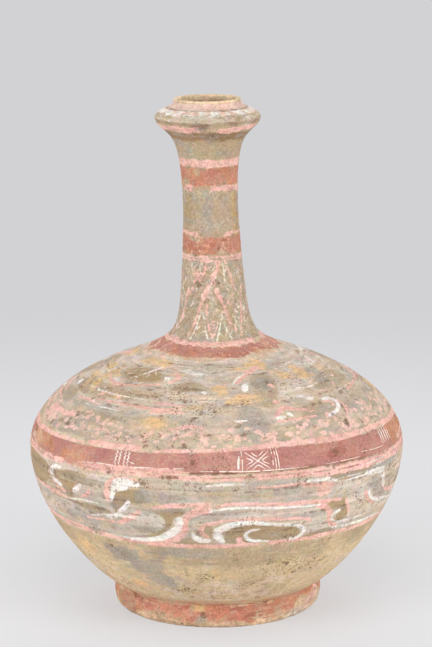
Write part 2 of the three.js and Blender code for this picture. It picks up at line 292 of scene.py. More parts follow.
# (layer, widths at start, middle and end, places) of the scroll belt below the red band
SCROLL_STROKES = [
    ("white", (2.4, 4.2, 3), [(-53.4, 146), (-56, 145.5), (-58.5, 143), (-59, 139), (-57.5, 135),
        (-54, 132.5)]),
    ("pink", (1.4, 2, 1.4), [(-61, 141), (-60, 136), (-57, 131.6), (-53, 129.6)]),
    ("white", (3.4, 3.8, 3.2), [(-47.5, 131.5), (-45.6, 134), (-44.5, 136.5)]),
    ("pink", (1.4, 2.6, 1.6), [(-44.5, 128.6), (-42, 130.6), (-40.8, 134.6)]),
    ("pink", (1.2, 2, 1.2), [(-75, 126), (-66, 125.4), (-60, 126), (-52, 128.5)]),
    ("pink", (1, 1.4, 1), [(-62, 123), (-52, 124)]),
    ("white", (1, 1.4, 1), [(-50, 123.6), (-45, 125.6), (-38, 126)]),
    ("white", (3.6, 6.8, 4.6), [(-23.6, 144.6), (-27, 145.4), (-30.6, 144), (-31.4, 140.6)]),
    ("white", (5, 4, 2.6), [(-27.6, 142), (-31, 139.4), (-32, 135), (-32.6, 131)]),
    ("pink", (3.4, 5, 3.4), [(-31.2, 146.6), (-33.4, 142), (-34, 136), (-33.8, 130.6)]),
    ("pink", (1.4, 2, 1.2), [(-24, 147.6), (-28, 148), (-32, 147.4)]),
    ("white", (3.6, 3.8, 3), [(-26.8, 130.4), (-28, 126.6), (-30.5, 121.8)]),
    ("white", (2.6, 2, 1.2), [(-30, 119.6), (-34, 117.5), (-38, 116.5), (-42, 114.4)]),
    ("white", (0.8, 1.4, 0.8), [(-24, 119.6), (-29, 118.4), (-34, 115)]),
    ("pink", (3, 3.8, 2.4), [(-23.4, 124), (-26, 119.6), (-29, 115.4), (-31, 112.6)]),
    ("pink", (0.8, 1.4, 0.8), [(-44, 111.6), (-36, 112.8), (-30, 112)]),
    ("white", (5.4, 5.6, 2.6), [(-11.2, 119.5), (-11.5, 115), (-13, 110), (-15.5, 106), (-18.5, 102.5),
        (-23, 100.2), (-28, 99.4)]),
    ("pink", (5, 5.4, 4.2), [(-2.5, 128), (-6, 126.5), (-8.5, 123), (-9.8, 118), (-10, 112), (-11, 107),
        (-13.5, 102.5), (-17, 100), (-22, 98.8)]),
    ("pink", (1.6, 2.8, 2.6), [(-19, 128.4), (-15, 130.4), (-10, 131.5), (-2.5, 132.5)]),
    ("white", (1, 1.6, 1), [(-31, 99.8), (-25, 100.6), (-20, 101.6)]),
    ("white", (1.4, 4.6, 3.4), [(-7.6, 110), (-7, 105.6), (-5.2, 102.4), (-2.8, 102.2)]),
    ("grey", (2.4, 3, 2), [(-7.8, 122), (-8.2, 116), (-7.8, 111)]),
    ("pink", (2.4, 3.2, 1.8), [(-0.5, 117.5), (-3.5, 116), (-4.8, 112.5), (-4.5, 108.5), (-3, 106)]),
    ("white", (4, 6.6, 5.4), [(1.5, 101.5), (0.3, 105), (0, 110), (1.2, 112.8)]),
    ("white", (5.4, 3.6, 2.8), [(1.2, 112.4), (4, 115.5), (8, 117), (12, 116.5), (16, 114.5), (20, 113)]),
    ("white", (2.2, 2.6, 2), [(19, 113.4), (24, 111.5), (27, 108.5), (27.8, 105), (27, 101.5), (25, 99.5),
        (23.4, 99.8)]),
    ("white", (2.2, 3, 2), [(12.6, 111), (10, 110), (8.7, 107), (9.2, 103.5), (11, 101), (14, 100),
        (16, 99.6)]),
    ("pink", (2.8, 3, 1.6), [(7, 104.4), (7, 100.4), (9, 98), (13, 97.6)]),
    ("white", (1.4, 2.2, 1.4), [(-2.2, 127), (0, 128.5), (5, 129.5), (10, 129.2), (16, 128), (22, 127),
        (28, 126), (32, 125.5)]),
    ("pink", (1.4, 2, 1.4), [(0, 118), (2, 119.6), (8, 120), (14, 119), (20, 118), (25, 117), (28.5, 115),
        (29.5, 112.5)]),
    ("pink", (1.8, 2.8, 1.8), [(0, 130.8), (4, 132.5), (8, 132), (14, 130.8), (20, 129.8), (28, 128.8),
        (34, 127.6), (40, 126)]),
    ("white", (1, 2.2, 1), [(-3, 146.5), (2, 147), (8, 147)]),
    ("pink", (1.2, 1.6, 1), [(11, 144), (18, 143.6), (28, 144)]),
    ("white", (1.6, 2.6, 2.2), [(27, 144.7), (33, 144), (37.4, 141.8)]),
    ("pink", (1.6, 1.8, 1.2), [(26, 141.6), (33, 141), (37, 138.6)]),
    ("pink", (3.6, 4.6, 3.6), [(31.5, 125.4), (34.5, 122), (36.5, 117), (36.8, 112), (38, 107),
        (40, 104)]),
    ("white", (3, 2.2, 1.6), [(40, 117), (38, 115.5), (37.3, 112), (38.5, 109), (41, 107)]),
    ("white", (1.6, 1.4, 1), [(41, 107), (46, 106.2), (53, 105.5)]),
    ("pink", (1.4, 2.4, 1.4), [(42, 125), (43.4, 119), (44.6, 113)]),
    ("white", (1.4, 2.2, 1.6), [(38.6, 103.4), (43, 101.5), (50, 100.5), (58, 99.5), (68, 97.6)]),
    ("pink", (2.4, 3, 2), [(50.5, 127), (52, 122.4), (54, 117.6), (58, 113)]),
    ("white", (3.4, 3, 1.8), [(53, 125), (54, 121), (57, 117), (61, 114), (66, 112), (73, 108.6)]),
    ("white", (3, 5.4, 4.4), [(53.4, 139), (57, 138.8), (60, 135), (61, 129), (61.8, 124.6)]),
    ("white", (2, 2.8, 2), [(50, 141), (56, 140.4), (61, 139)]),
    ("pink", (1.8, 2.6, 1.8), [(62, 124), (64, 120.6), (68, 118), (73, 117)]),
    ("white", (1.2, 1.8, 1.2), [(41, 139.4), (47, 139.8), (53, 138.6)]),
    ("pink", (1, 1.6, 1), [(-44, 152.6), (-38, 154.8), (-30, 156), (-20, 156.4), (-10, 156.6)]),
    ("pink", (0.8, 1.2, 0.8), [(-38, 153), (-30, 154.6), (-20, 155.2), (-8, 155.4)]),
    ("soil", (0.8, 1.1, 0.6), [(-8, 154.9), (4, 154.5), (14, 154.4), (24, 154.6), (34, 154)]),
    ("soil", (0.6, 1.1, 0.6), [(34, 153), (44, 152.6), (54, 151.6), (64, 150.6)]),
]

# (layer, places) of closed outlines in the same belt
SCROLL_SHAPES = [
    ("olive", [(-57.4, 141), (-52, 144.8), (-46, 146.4), (-41.6, 145), (-42.6, 140), (-43.6, 137.6),
        (-46.4, 136.6), (-48, 132), (-48.4, 126), (-51.4, 124.6), (-52.6, 130), (-55.6, 135)]),
    ("olive", [(-80, 147), (-64, 146), (-60.6, 142), (-61, 134), (-66, 128), (-80, 127)]),
    ("olive", [(-23, 140.6), (-27, 140.6), (-30.6, 137.4), (-32.4, 131), (-32.8, 126), (-31.4, 121.6),
        (-29.4, 122), (-28, 126), (-26.6, 129.6), (-23.4, 130.4), (-21.4, 133), (-21, 137.4)]),
    ("wash", [(-24, 123.4), (-18.6, 124), (-16.6, 119), (-17, 112), (-20, 106), (-25, 103), (-34, 104.6),
        (-31, 110), (-28, 115)]),
    ("olive", [(-20, 124.8), (-13, 128.6), (-9.4, 128), (-10, 124), (-12.6, 121), (-14, 114),
        (-16.4, 108), (-20, 104), (-26, 101.6), (-23, 104), (-18.6, 108), (-16, 114), (-15.8, 119),
        (-17.6, 123.4)]),
    ("olive", [(-3.4, 116), (-1.4, 114), (-1.4, 106), (-2.6, 103.6), (-4, 106.4), (-4, 111)]),
    ("olive", [(2.8, 100.4), (2.4, 106), (3.6, 111), (8, 115), (13, 114.6), (19, 112), (24.4, 110),
        (26.6, 105), (25.4, 101), (19, 99.4), (10, 99)]),
    ("wash", [(-2, 121), (0, 126), (8, 128), (20, 126.6), (30, 124.6), (33.4, 120), (34.6, 112),
        (33.6, 105), (31, 102.4), (28.4, 103.4), (29.4, 108), (30.4, 113), (28, 117), (20, 119.4),
        (8, 121.6)]),
    ("olive", [(33, 126), (38, 127), (42, 126), (43, 119), (44.4, 113), (43, 108), (40, 107.6),
        (38.8, 110), (39.4, 114), (40, 118), (37, 119), (35.4, 122)]),
    ("grey", [(52, 131), (55, 137), (59, 131), (60.4, 125), (65, 119), (72, 112), (64, 114.6), (58, 119),
        (54.6, 124)]),
    ("olive", [(36, 146.4), (46, 146.8), (56, 144.6), (56, 142), (46, 140.6), (38, 141.4)]),
    ("olive", [(-22, 98.6), (-14, 99.4), (-10, 103.4), (-8, 105), (-7, 101.6), (0, 99.6), (0, 98),
        (-10, 97.6)]),
    ("olive", [(27.4, 99.4), (31, 102), (37, 103.4), (41, 99.6), (50, 99), (50, 97.6), (36, 98),
        (28, 98)]),
    ("olive", [(-47, 121), (-42, 124), (-36, 123), (-33, 119.6), (-38, 118), (-44, 118.6)]),
]

# The same for the shoulder, from the red band to the neck root
SHOULDER_STROKES = [
    ("pink", (1.2, 2.2, 1.2), [(-66, 230.4), (-63, 227), (-58, 224.6), (-52, 224.1), (-44, 226),
        (-36, 228.6), (-29, 232)]),
    ("white", (0.5, 0.9, 0.5), [(-65, 232.7), (-60, 228.9), (-52, 227.4)]),
    ("white", (1, 2, 1.6), [(-38, 252), (-41, 247), (-45, 240)]),
    ("white", (2.6, 4, 2.6), [(-28.6, 240.6), (-26, 237.2)]),
    ("pink", (2, 4, 2.4), [(-24, 247.1), (-21.4, 240.6), (-25, 234.9)]),
    ("blush", (4, 8, 4), [(-34, 255), (-27, 251), (-22, 245)]),
    ("white", (3, 3.4, 2.4), [(47, 205), (50.5, 204.5), (52, 201), (51.5, 196), (48, 192), (43.6, 190)]),
    ("pink", (1.4, 2.2, 1.4), [(45.6, 202.6), (48.6, 201.6), (49.4, 198)]),
    ("pink", (1.8, 2.6, 1.6), [(53, 200), (54.6, 194), (53, 189)]),
    ("white", (3.6, 4.4, 3), [(40.2, 209.6), (42.6, 208.6)]),
    ("white", (2, 2.6, 1.8), [(37.4, 212), (39, 211)]),
    ("white", (3.6, 5.2, 3.6), [(14.8, 232), (13.8, 226)]),
    ("white", (2.6, 3.6, 2.6), [(-6, 225.4), (-4.8, 224.8)]),
    ("white", (1.2, 1.8, 1.2), [(6.4, 195.3), (11, 195.1)]),
    ("white", (2.4, 3.6, 2), [(22.4, 195), (25.6, 195.4)]),
    ("white", (1.8, 2.8, 1.8), [(27.2, 198.6), (28.6, 195.7)]),
    ("pink", (3.6, 4.6, 3), [(22.8, 197.8), (25, 201.6), (28, 204.6)]),
    ("pink", (2.4, 3, 1.6), [(28, 203.4), (33, 200.4), (38, 197)]),
    ("pink", (1.2, 2, 1.2), [(23, 192.4), (30, 192.8), (38, 192)]),
    ("pink", (2.6, 3.2, 2), [(27.4, 229.7), (28.6, 226.4)]),
    ("pink", (3, 3.6, 3), [(24.6, 210.9), (26, 210.5)]),
    ("pink", (3.6, 5, 3.4), [(11, 236), (16, 243), (22, 249), (28, 253)]),
    ("white", (1.4, 2, 1.2), [(9, 234.4), (12, 240.6), (18, 247)]),
    ("pink", (1.4, 2.4, 1.4), [(-54, 205), (-40, 206.4), (-26, 205.4), (-14, 206.6)]),
    ("pink", (1.2, 2, 1.2), [(-26, 210.4), (-20, 210.8), (-13, 209.6)]),
    ("pink", (1.6, 3, 1.8), [(-26, 201.6), (-20, 203.4), (-12, 203.6)]),
    ("pink", (1.2, 1.8, 1), [(-66, 201), (-58, 201.5), (-50, 201.1)]),
    ("white", (0.5, 1.3, 0.6), [(-70, 213), (-60, 213.4), (-48, 213), (-36, 213.8), (-30, 213.2)]),
    ("white", (0.5, 1, 0.5), [(-50, 208.2), (-42, 207.9), (-33, 208.3)]),
    ("white", (0.4, 0.9, 0.4), [(-12, 214.6), (-4, 215), (4, 214)]),
    ("white", (0.4, 0.9, 0.4), [(-10, 218.6), (0, 219.4), (8, 218.4)]),
    ("white", (0.4, 0.8, 0.4), [(-12, 210.6), (0, 211), (10, 209.6)]),
    ("white", (0.4, 1, 0.5), [(-58, 198), (-46, 199), (-34, 198.4)]),
    ("pink", (2.6, 4.4, 2.4), [(-78, 185), (-68, 184), (-58, 186)]),
    ("pink", (1.6, 2.2, 1.6), [(-78, 165.4), (-66, 166.6), (-56, 167.4), (-46, 168.4)]),
    ("pink", (1.4, 2.2, 1.4), [(-16, 187.1), (-10, 190.7), (-4, 190.1)]),
    ("white", (0.6, 1.2, 0.6), [(38, 222), (46, 220), (54, 221.6)]),
    ("white", (0.5, 1, 0.5), [(54, 212), (62, 208), (70, 209)]),
    ("white", (0.5, 0.9, 0.5), [(40, 247), (52, 250), (62, 252)]),
    ("white", (0.6, 1, 0.6), [(-62, 243), (-70, 236), (-76, 226)]),
    ("soil", (2, 2.6, 2), [(-64, 178.4), (-62, 178)]),
    ("soil", (1.6, 2.2, 1.6), [(-59, 178.4), (-56.6, 178)]),
    ("soil", (2.2, 3, 2), [(-49.6, 173.6), (-46.8, 173.8)]),
    ("soil", (1.8, 2.6, 2), [(48.6, 178.5), (49.4, 184)]),
    ("soil", (1.4, 1.8, 1.2), [(26.6, 231.6), (27.4, 234.4)]),
    ("soil", (1.8, 2.2, 1.6), [(7, 190.1), (8.4, 191.5)]),
    ("soil", (1, 1.6, 1), [(15, 200), (17, 203)]),
]

SHOULDER_SHAPES = [
    ("olive", [(-60, 237), (-54, 232.6), (-45, 231.6), (-35, 234), (-31, 239), (-36, 244), (-45, 247),
        (-55, 245.6)]),
    ("tan", [(-62, 236), (-55, 230.6), (-45, 229.6), (-33, 232.1), (-29, 238.7), (-34, 246), (-44, 249.6),
        (-56, 248)]),
    ("wash", [(-19, 240), (-10, 236), (6, 233.5), (12, 242), (6, 256), (-10, 258), (-19, 250)]),
    ("tan", [(18, 208), (24, 207), (31, 227.4), (33, 238.7), (26, 245), (19, 240), (18, 228), (17, 216)]),
    ("tan", [(52, 213.8), (78, 212.8), (78, 226), (60, 227.5), (50, 221)]),
    ("tan", [(32, 190.6), (44, 190.6), (49, 196), (48.6, 201), (44, 204), (35, 202)]),
    ("tan", [(-22, 226), (-9, 226), (-5, 232), (-12, 238), (-20, 234)]),
    ("tan", [(-58, 187), (-44, 187), (-34, 188.4), (-34, 195), (-50, 195.6)]),
    ("tan", [(-78, 206), (-50, 207), (-30, 214), (-24, 222), (-50, 222), (-78, 218)]),
    ("grey", [(8, 180), (18, 179), (17, 206), (9, 208)]),
]

# The neck's panel of triangles, between its two lower bands
NECK_STROKES = [
    ("white", (0.6, 0.95, 0.6), [(-33, 287.2), (-27, 298), (-20, 310.4)]),
    ("white", (0.6, 0.95, 0.6), [(-20, 310.4), (-14, 298.1), (-9, 287.2)]),
    ("olive", (0.7, 1, 0.7), [(-20.6, 287), (-20, 295), (-20, 304)]),
    ("olive", (0.6, 0.9, 0.6), [(-26, 287), (-23.6, 293), (-22, 299)]),
    ("white", (0.6, 0.95, 0.6), [(3, 286.6), (8, 295.7), (13, 304.7)]),
    ("white", (0.6, 0.95, 0.6), [(13, 304.7), (18, 295.7), (23.4, 287)]),
    ("olive", (0.7, 1, 0.7), [(13, 287), (13.2, 293), (13, 299)]),
    ("olive", (0.6, 0.9, 0.6), [(8, 287), (10, 291), (11.6, 296)]),
    ("pink", (1, 1.4, 1), [(-11, 301.2), (7.4, 300.6)]),
    ("pink", (0.8, 1.2, 0.8), [(-8.6, 298.4), (5, 298)]),
    ("pink", (0.8, 1.2, 0.8), [(-7, 295.8), (3, 295.6)]),
    ("pink", (0.7, 1, 0.7), [(-5.6, 293.4), (0.6, 293.2)]),
    ("pink", (1, 1.4, 1), [(-11, 301.2), (-6.4, 294), (-2.6, 288)]),
    ("pink", (1, 1.4, 1), [(7.4, 300.8), (2, 294), (-2.6, 288)]),
    ("pink", (4, 4.6, 3.4), [(13, 344.4), (9, 340), (5, 335.6), (0, 330.6)]),
    ("pink", (3, 3.6, 2.6), [(0, 330.6), (-3.6, 327.4), (-8, 324.6)]),
    ("pink", (3.6, 4.6, 3), [(-8, 325), (-14, 320), (-19, 315.4), (-23, 311.6)]),
    ("pink", (2, 2.4, 1.6), [(-23, 311.4), (-29, 303), (-36, 294)]),
    ("pink", (1.4, 2, 1.4), [(-10, 320), (-11.6, 311), (-10.6, 303)]),
    ("pink", (2.4, 3.2, 2.4), [(2, 329.6), (7, 323), (12, 317.6), (18, 311.6), (22, 306)]),
    ("pink", (2, 2.2, 1.4), [(22, 306), (27, 299), (34, 291)]),
    ("pink", (3, 5, 3.6), [(-31, 333), (-27.4, 333), (-23.6, 331)]),
    ("pink", (1.8, 2.4, 1.8), [(-23.6, 331), (-17, 336), (-11, 343)]),
    ("pink", (1.6, 2.2, 1.4), [(-31, 332), (-38, 326), (-45, 318)]),
    ("white", (0.8, 1.2, 0.8), [(-24, 341.8), (-21.4, 337.3)]),
    ("white", (0.5, 0.8, 0.5), [(-43, 309.1), (-36, 316.7), (-30, 324.7)]),
    ("white", (0.5, 0.8, 0.5), [(-3, 322), (2, 314), (8, 308)]),
    ("pink", (2.2, 3, 2.2), [(-48, 324), (-52, 320), (-60, 306), (-70, 296), (-78, 290)]),
    ("pink", (2, 2.8, 2), [(60, 326), (56, 318), (52, 308), (47, 298), (40, 289)]),
    ("white", (0.6, 1, 0.6), [(-78, 324.7), (-70, 314), (-62, 304)]),
    ("white", (0.5, 0.8, 0.5), [(20, 344), (21, 334.7), (24, 326)]),
    ("pink", (1.4, 2, 1.2), [(26, 344), (34, 334), (43, 322)]),
    ("white", (0.6, 1, 0.6), [(34, 306), (38, 298), (44, 292)]),
    ("soil", (2, 2.6, 2), [(5.6, 330.3), (8, 328.1)]),
    ("soil", (1.8, 2.4, 1.6), [(-28, 329), (-25.4, 327)]),
    ("soil", (1, 1.4, 1), [(-11, 316.7), (-9.6, 315.7)]),
]

NECK_SHAPES = [
    ("wash", [(-32, 286.6), (-27, 296), (-20, 309), (-14, 297), (-9.6, 286.6)]),
    ("wash", [(3.4, 286.4), (8, 295), (13, 304), (18, 295), (23.6, 286.4)]),
    ("wash", [(16, 343), (30, 343), (34, 330), (26, 322), (18, 332)]),
    ("wash", [(-52, 343), (-36, 343), (-36, 330), (-46, 326)]),
    ("wash", [(-6, 322), (2, 318), (3, 306), (-6, 304), (-9, 312)]),
]

# Lower and upper edge of the double pink line under the red band
DOUBLE_LOW = [
    (-78, 148), (-60, 149), (-20, 150.3), (0, 149.4), (15, 149.4), (25, 148.4), (35, 146.6), (45, 145.6),
    (60, 144.6), (78, 143.4), (180, 147),
]
DOUBLE_HIGH = [
    (-78, 152.5), (-45, 152.6), (-30, 154.6), (-5, 154.2), (15, 154), (30, 153.2), (45, 152), (60, 151),
    (78, 150), (180, 152.6),
]


def between(share, shift=0.0):
    """An edge that lies a share of the way up the double line, moved up by a shift."""
    angles = sorted({angle for angle, _ in DOUBLE_LOW + DOUBLE_HIGH})
    low = np.interp(angles, *zip(*DOUBLE_LOW), period=360)
    high = np.interp(angles, *zip(*DOUBLE_HIGH), period=360)
    return [(angle, run) for angle, run in zip(angles, low + share * (high - low) + shift)]


# (layer, lowest run, highest run, waver, ragged): the painted lines and bands that run right
# round. An edge is one run, or (angle, run) places that it passes through.
BANDS = [
    ("pink",
     [(-75, 98.6), (-45, 97.4), (-30, 96), (-20, 95), (7, 95), (18, 96), (40, 95.6), (60, 93.4),
      (180, 96)],
     [(-75, 102.6), (-45, 101.4), (-30, 99.4), (-20, 98.4), (7, 98.4), (18, 99.2), (40, 99), (60, 97),
      (180, 99.4)],
     0.3, 1),
    ("pink", DOUBLE_LOW, between(0.5, -0.3), 0.2, 0.9),
    ("red", between(0.5, -0.8), between(0.5, 0.9), 0.2, 0.6),
    ("pink", between(0.5, 0.45), DOUBLE_HIGH, 0.2, 1.2),
    ("red",
     [(-78, 153), (-60, 151.6), (-50, 151.4), (-40, 153.6), (-30, 154.8), (-10, 154.8), (15, 154.4),
      (30, 153.6), (45, 152.6), (60, 151.4), (78, 150.4), (180, 153.2)],
     [(-78, 164.6), (-60, 166), (-45, 167), (-20, 168.5), (-10, 169.6), (0, 170.5), (10, 171.2),
      (20, 171.6), (30, 170.8), (40, 169.6), (50, 168.8), (60, 168.4), (78, 166.5), (180, 168)],
     0.15, 0.6),
    ("pink",
     [(-78, 164.8), (-60, 166.4), (-45, 167.4), (-20, 168.8), (0, 170.6), (20, 172), (30, 171.2),
      (40, 170), (50, 169.2), (60, 168.8), (78, 167), (180, 168.4)],
     [(-78, 168.4), (-60, 168.4), (-48, 168.8), (-42, 171), (-39, 172.6), (-24, 173), (-20, 171),
      (-10, 172.8), (0, 172.6), (10, 174), (20, 176.6), (30, 175.8), (40, 174.2), (60, 173), (78, 170.4),
      (180, 172.6)],
     0.3, 1.2),
    ("red", 268.2, 281, 0.5, 3.2),
    ("pink", 281.4, 285.2, 0.5, 1.6),
    ("pink", 344.8, 346.2, 0.2, 0.9),
    ("pink", 347.2, 348.8, 0.2, 0.8),
    ("red", 350, 362.6, 0.4, 1.5),
    ("pink", 363.2, 365.8, 0.8, 2.6),
    ("pink", 396.1, 400.4, 0.6, 2.4),
    ("red", 401.2, 413.7, 0.4, 1.6),
    ("pink", 414.3, 420.2, 0.2, 0.9),
    ("tan", 421, 437, 0.6, 1.5),
    ("olive", 435, 444.6, 0.8, 2),
    ("pink", 444.6, 450.6, 0.5, 2),
    # The soil line from 451.7 to 454.3 is a painted shadow line just under the rim
    ("soil", 451.7, 454.3, 0.3, 0.9),
    ("dab", 460.8, 467.2, 0.4, 1.6),
    ("soil", 467.4, 468, 0.2, 0.9),
    ("dab", 468.2, 476, 0.3, 0.8),
    ("red", 4.6, 16.2, 0.5, 2.8),
]

# (layer, lowest run, highest run, level, patch size, spread): broken hazes of colour, a few of which are
# painted light or shade, as marked below
HAZES = [
    ("wash", 98.6, 148.6, 1.1, 18, 8), ("wash", 190, 262, 0.6, 10, 9), ("wash", 230, 266, 1.6, 14, 9),
    # The wash haze from 18 to 58 is painted light: it lightens the lower bowl, where the underside falls
    # into shade
    ("wash", 18, 58, -0.8, 26, 8), ("tan", 196, 262, -2.8, 9, 10), ("tan", 20, 94, -2.4, 24, 9),
    ("tan", 78, 95, 0.8, 14, 8), ("grey", 98.6, 148.6, -2.2, 26, 10), ("grey", 172, 198, -0.6, 7, 8),
    ("grey", 196, 262, -3, 9, 11), ("grey", 20, 94, -3.6, 9, 10), ("blush", 98.6, 148.6, -0.8, 14, 9),
    ("blush", 172, 194, 0.4, 7, 8), ("tan", 172, 198, -0.4, 9, 8), ("blush", 194, 264, -0.6, 8, 10),
    ("blush", 20, 60, -2, 30, 9), ("ochre", 184, 268, -5.2, 12, 12), ("ochre", 30, 92, -8.4, 22, 11),
    ("ochre", 368, 396, -4.6, 12, 8), ("tan", 368, 396, 1, 10, 6), ("grey", 286, 345, -0.6, 4, 9),
    ("grey", 368, 396, -1.6, 9, 8), ("wash", 286, 345, -1, 2.6, 10), ("olive", 286, 345, -2, 3, 9),
    ("blush", 286, 345, -0.6, 6, 8), ("tan", 286, 345, 1.4, 5, 8), ("wash", 454.4, 462.4, 0.2, 8, 5),
    # The grey haze from 424 to 446 is painted shade under the mouth's overhanging rim
    ("grey", 424, 446, -1.6, 9, 8), ("wash", 466, 476, 0.8, 6, 4), ("white", 461.6, 466.6, 0, 4, 4),
    # The orange haze from 16.6 to 24 is partly a reddish-brown line at the seat and partly painted shade
    # on the bowl just above the foot
    ("orange", 151, 169, -3.2, 22, 9), ("orange", 16.6, 24, 0.4, 14, 5), ("orange", 268, 281, -0.4, 5, 9),
    ("dab", 265, 281, -1, 2.6, 6), ("orange", 350, 363, -1.2, 8, 8), ("orange", 401, 414, -1, 8, 8),
    ("soil", -3, 396, -6.6, 9, 9.4),
]

# (layer, angle, run, half width in degrees, half height): soft stains
STAINS = [
    ("ochre", -54, 78, 5, 7), ("ochre", -35, 46, 3, 3), ("grey", -25, 71, 9, 11),
    ("ochre", -0.5, 66, 1.2, 3), ("grey", -34, 82, 8, 9), ("grey", -15, 89, 10, 5),
    ("grey", -22, 58, 6, 12), ("tan", 10, 82, 9, 9), ("tan", 22, 91, 14, 4), ("orange", -18, 20, 14, 4),
    ("orange", 40, 21, 16, 4), ("tan", 2, 139, 12, 2), ("grey", -14, 136, 9, 7), ("grey", -2, 143, 10, 2),
    ("grey", -4, 123, 5, 3), ("ochre", 33.6, 136, 1.6, 5), ("grey", -44, 112, 12, 7),
    ("orange", -64, 161, 6, 6), ("orange", -48.5, 157.5, 6, 5.5), ("orange", -74, 158, 6, 8),
    ("orange", 75, 160, 8, 9), ("dab", 33, 137, 3, 7), ("ochre", -25, 192.5, 6, 5),
    ("ochre", 1.5, 227, 4, 5.5), ("ochre", 12, 216.5, 5.5, 4.5), ("ochre", 40, 238, 6, 6),
    ("ochre", 53.5, 237, 5, 9), ("ochre", -68, 226, 8, 15), ("ochre", -45, 257, 12, 5),
    ("ochre", 30, 257, 7, 5), ("grey", -51.5, 180, 4.5, 8), ("grey", 13, 191, 4.5, 15),
    ("wash", -4, 246, 12, 9), ("wash", -20, 252, 10, 6), ("wash", 50, 250, 12, 7),
    ("wash", -66, 214, 9, 7), ("white", -11, 248, 8, 2.2), ("white", -20, 251, 5, 1.6),
    ("wash", 30, 250, 14, 6), ("grey", 24, 232, 6, 8), ("olive", 64, 383, 8, 16),
    ("ochre", 54, 383, 5, 14), ("olive", -52, 382, 15, 17), ("grey", -6, 382, 12, 17),
    ("grey", 6, 441, 12, 5), ("grey", -6, 450, 8, 5), ("wash", -15, 458, 12, 4), ("dab", -74, 181, 7, 4),
    ("grey", -9, 5, 3.6, 5), ("ochre", -9.6, 13.4, 5.6, 3.2), ("wash", 50, 3.6, 9, 3),
    ("ochre", 56, 12.6, 6, 2.2), ("wine", -48, 13.6, 10, 1.8), ("wine", 1, 14.4, 3, 1.8),
    ("wine", 10, 13.4, 3.4, 2), ("wine", 20, 7, 5, 2.6), ("wine", -20, 14, 5, 1.6),
    ("red", -16.8, 5.6, 4, 4.6), ("red", 17.6, 4.4, 3, 3.4), ("orange", -62, 8, 10, 9),
    ("wine", -62, 9, 9, 6), ("blush", 58, 9, 12, 7), ("dab", 66, 10, 7, 4), ("grey", -58, 5, 4, 4),
    ("grey", 60, 232, 8, 10), ("wash", 64, 245, 14, 8), ("wash", -50, 258, 12, 6),
    ("wine", 39, 162, 3.4, 4.4),
]

# (layer, lowest run, highest run, count, longest half width in degrees, widest half height)
SMEARS = [
    ("grey", 100, 148, 90, 14, 2.4), ("tan", 100, 148, 28, 10, 1.8), ("wash", 100, 148, 90, 14, 2.2),
    ("blush", 100, 148, 24, 9, 1.8), ("white", 131, 148, 16, 7, 0.6), ("soil", 100, 148, 60, 6, 0.4),
    ("soil", 196, 262, 70, 6, 0.45), ("tan", 196, 262, 70, 12, 1.8), ("olive", 204, 262, 18, 10, 1.2),
    ("wash", 174, 262, 60, 12, 1.8), ("wash", 198, 262, 130, 12, 1.8), ("blush", 174, 262, 110, 10, 2),
    ("grey", 196, 262, 46, 9, 2), ("ochre", 196, 262, 20, 6, 2.4), ("tan", 368, 396, 24, 30, 2.6),
    # The grey smears from 424 to 446 are painted shade under the mouth's overhanging rim
    ("grey", 368, 396, 16, 24, 2.6), ("wash", 368, 396, 16, 24, 1.8), ("grey", 424, 446, 30, 20, 2.4),
    ("tan", 454, 462, 16, 16, 1.6),
]

# (layer, lowest run, highest run, count, longest, slant in degrees per mm)
HATCHES = [
    ("wine", 268.8, 279.5, 60, 5, 0.6), ("wine", 351, 362, 90, 4, 0.8), ("dab", 262, 281, 50, 3, 0.6),
    ("dab", 350, 363, 40, 2.4, 1.6), ("dab", 286, 344, 260, 6, 1.5), ("olive", 286, 344, 360, 7, 1.3),
    ("white", 286, 344, 260, 5, 1.6), ("pink", 286, 344, 110, 4, 1.4),
]

# (layer, angle, run, half width in degrees, half height): gaps worn through a painted line
WORN_GAPS = [
    ("tan", -8, 246, 10, 9), ("blush", -8, 246, 10, 9), ("tan", 52, 246, 14, 8), ("pink", 0, 448, 12, 5),
    ("pink", 13, 97, 3.4, 3), ("pink", -42.5, 99, 1.2, 2), ("pink", -21.4, 171.4, 2.6, 3.4),
    ("pink", -72, 399, 8, 5), ("pink", -18, 399, 22, 5), ("pink", 9.6, 150.4, 2, 3.4),
    ("pink", -14, 151.8, 2.6, 1.6), ("pink", 0, 365, 30, 3), ("red", -60, 402, 24, 2.6),
    ("pink", 74, 448, 6, 5), ("pink", -55, 465, 26, 4), ("pink", -9, 465, 4, 4),
    ("red", -9.6, 13.6, 5.4, 3.2), ("red", -9, 5, 3.4, 4.4), ("red", -26, 411, 8, 3),
    ("red", 20, 351, 12, 2.4), ("red", -36, 362, 14, 2.6), ("pink", -46, 169, 3, 2.4),
    ("red", -64, 8, 11, 12), ("red", 54, 8, 8, 5), ("red", 34, 5.4, 10, 1.4), ("red", -34, 5.2, 8, 1.4),
    ("red", 72, 6, 8, 5), ("red", -75, 159, 6, 5), ("pink", 66, 284, 10, 4), ("red", 48, 270, 14, 3),
]

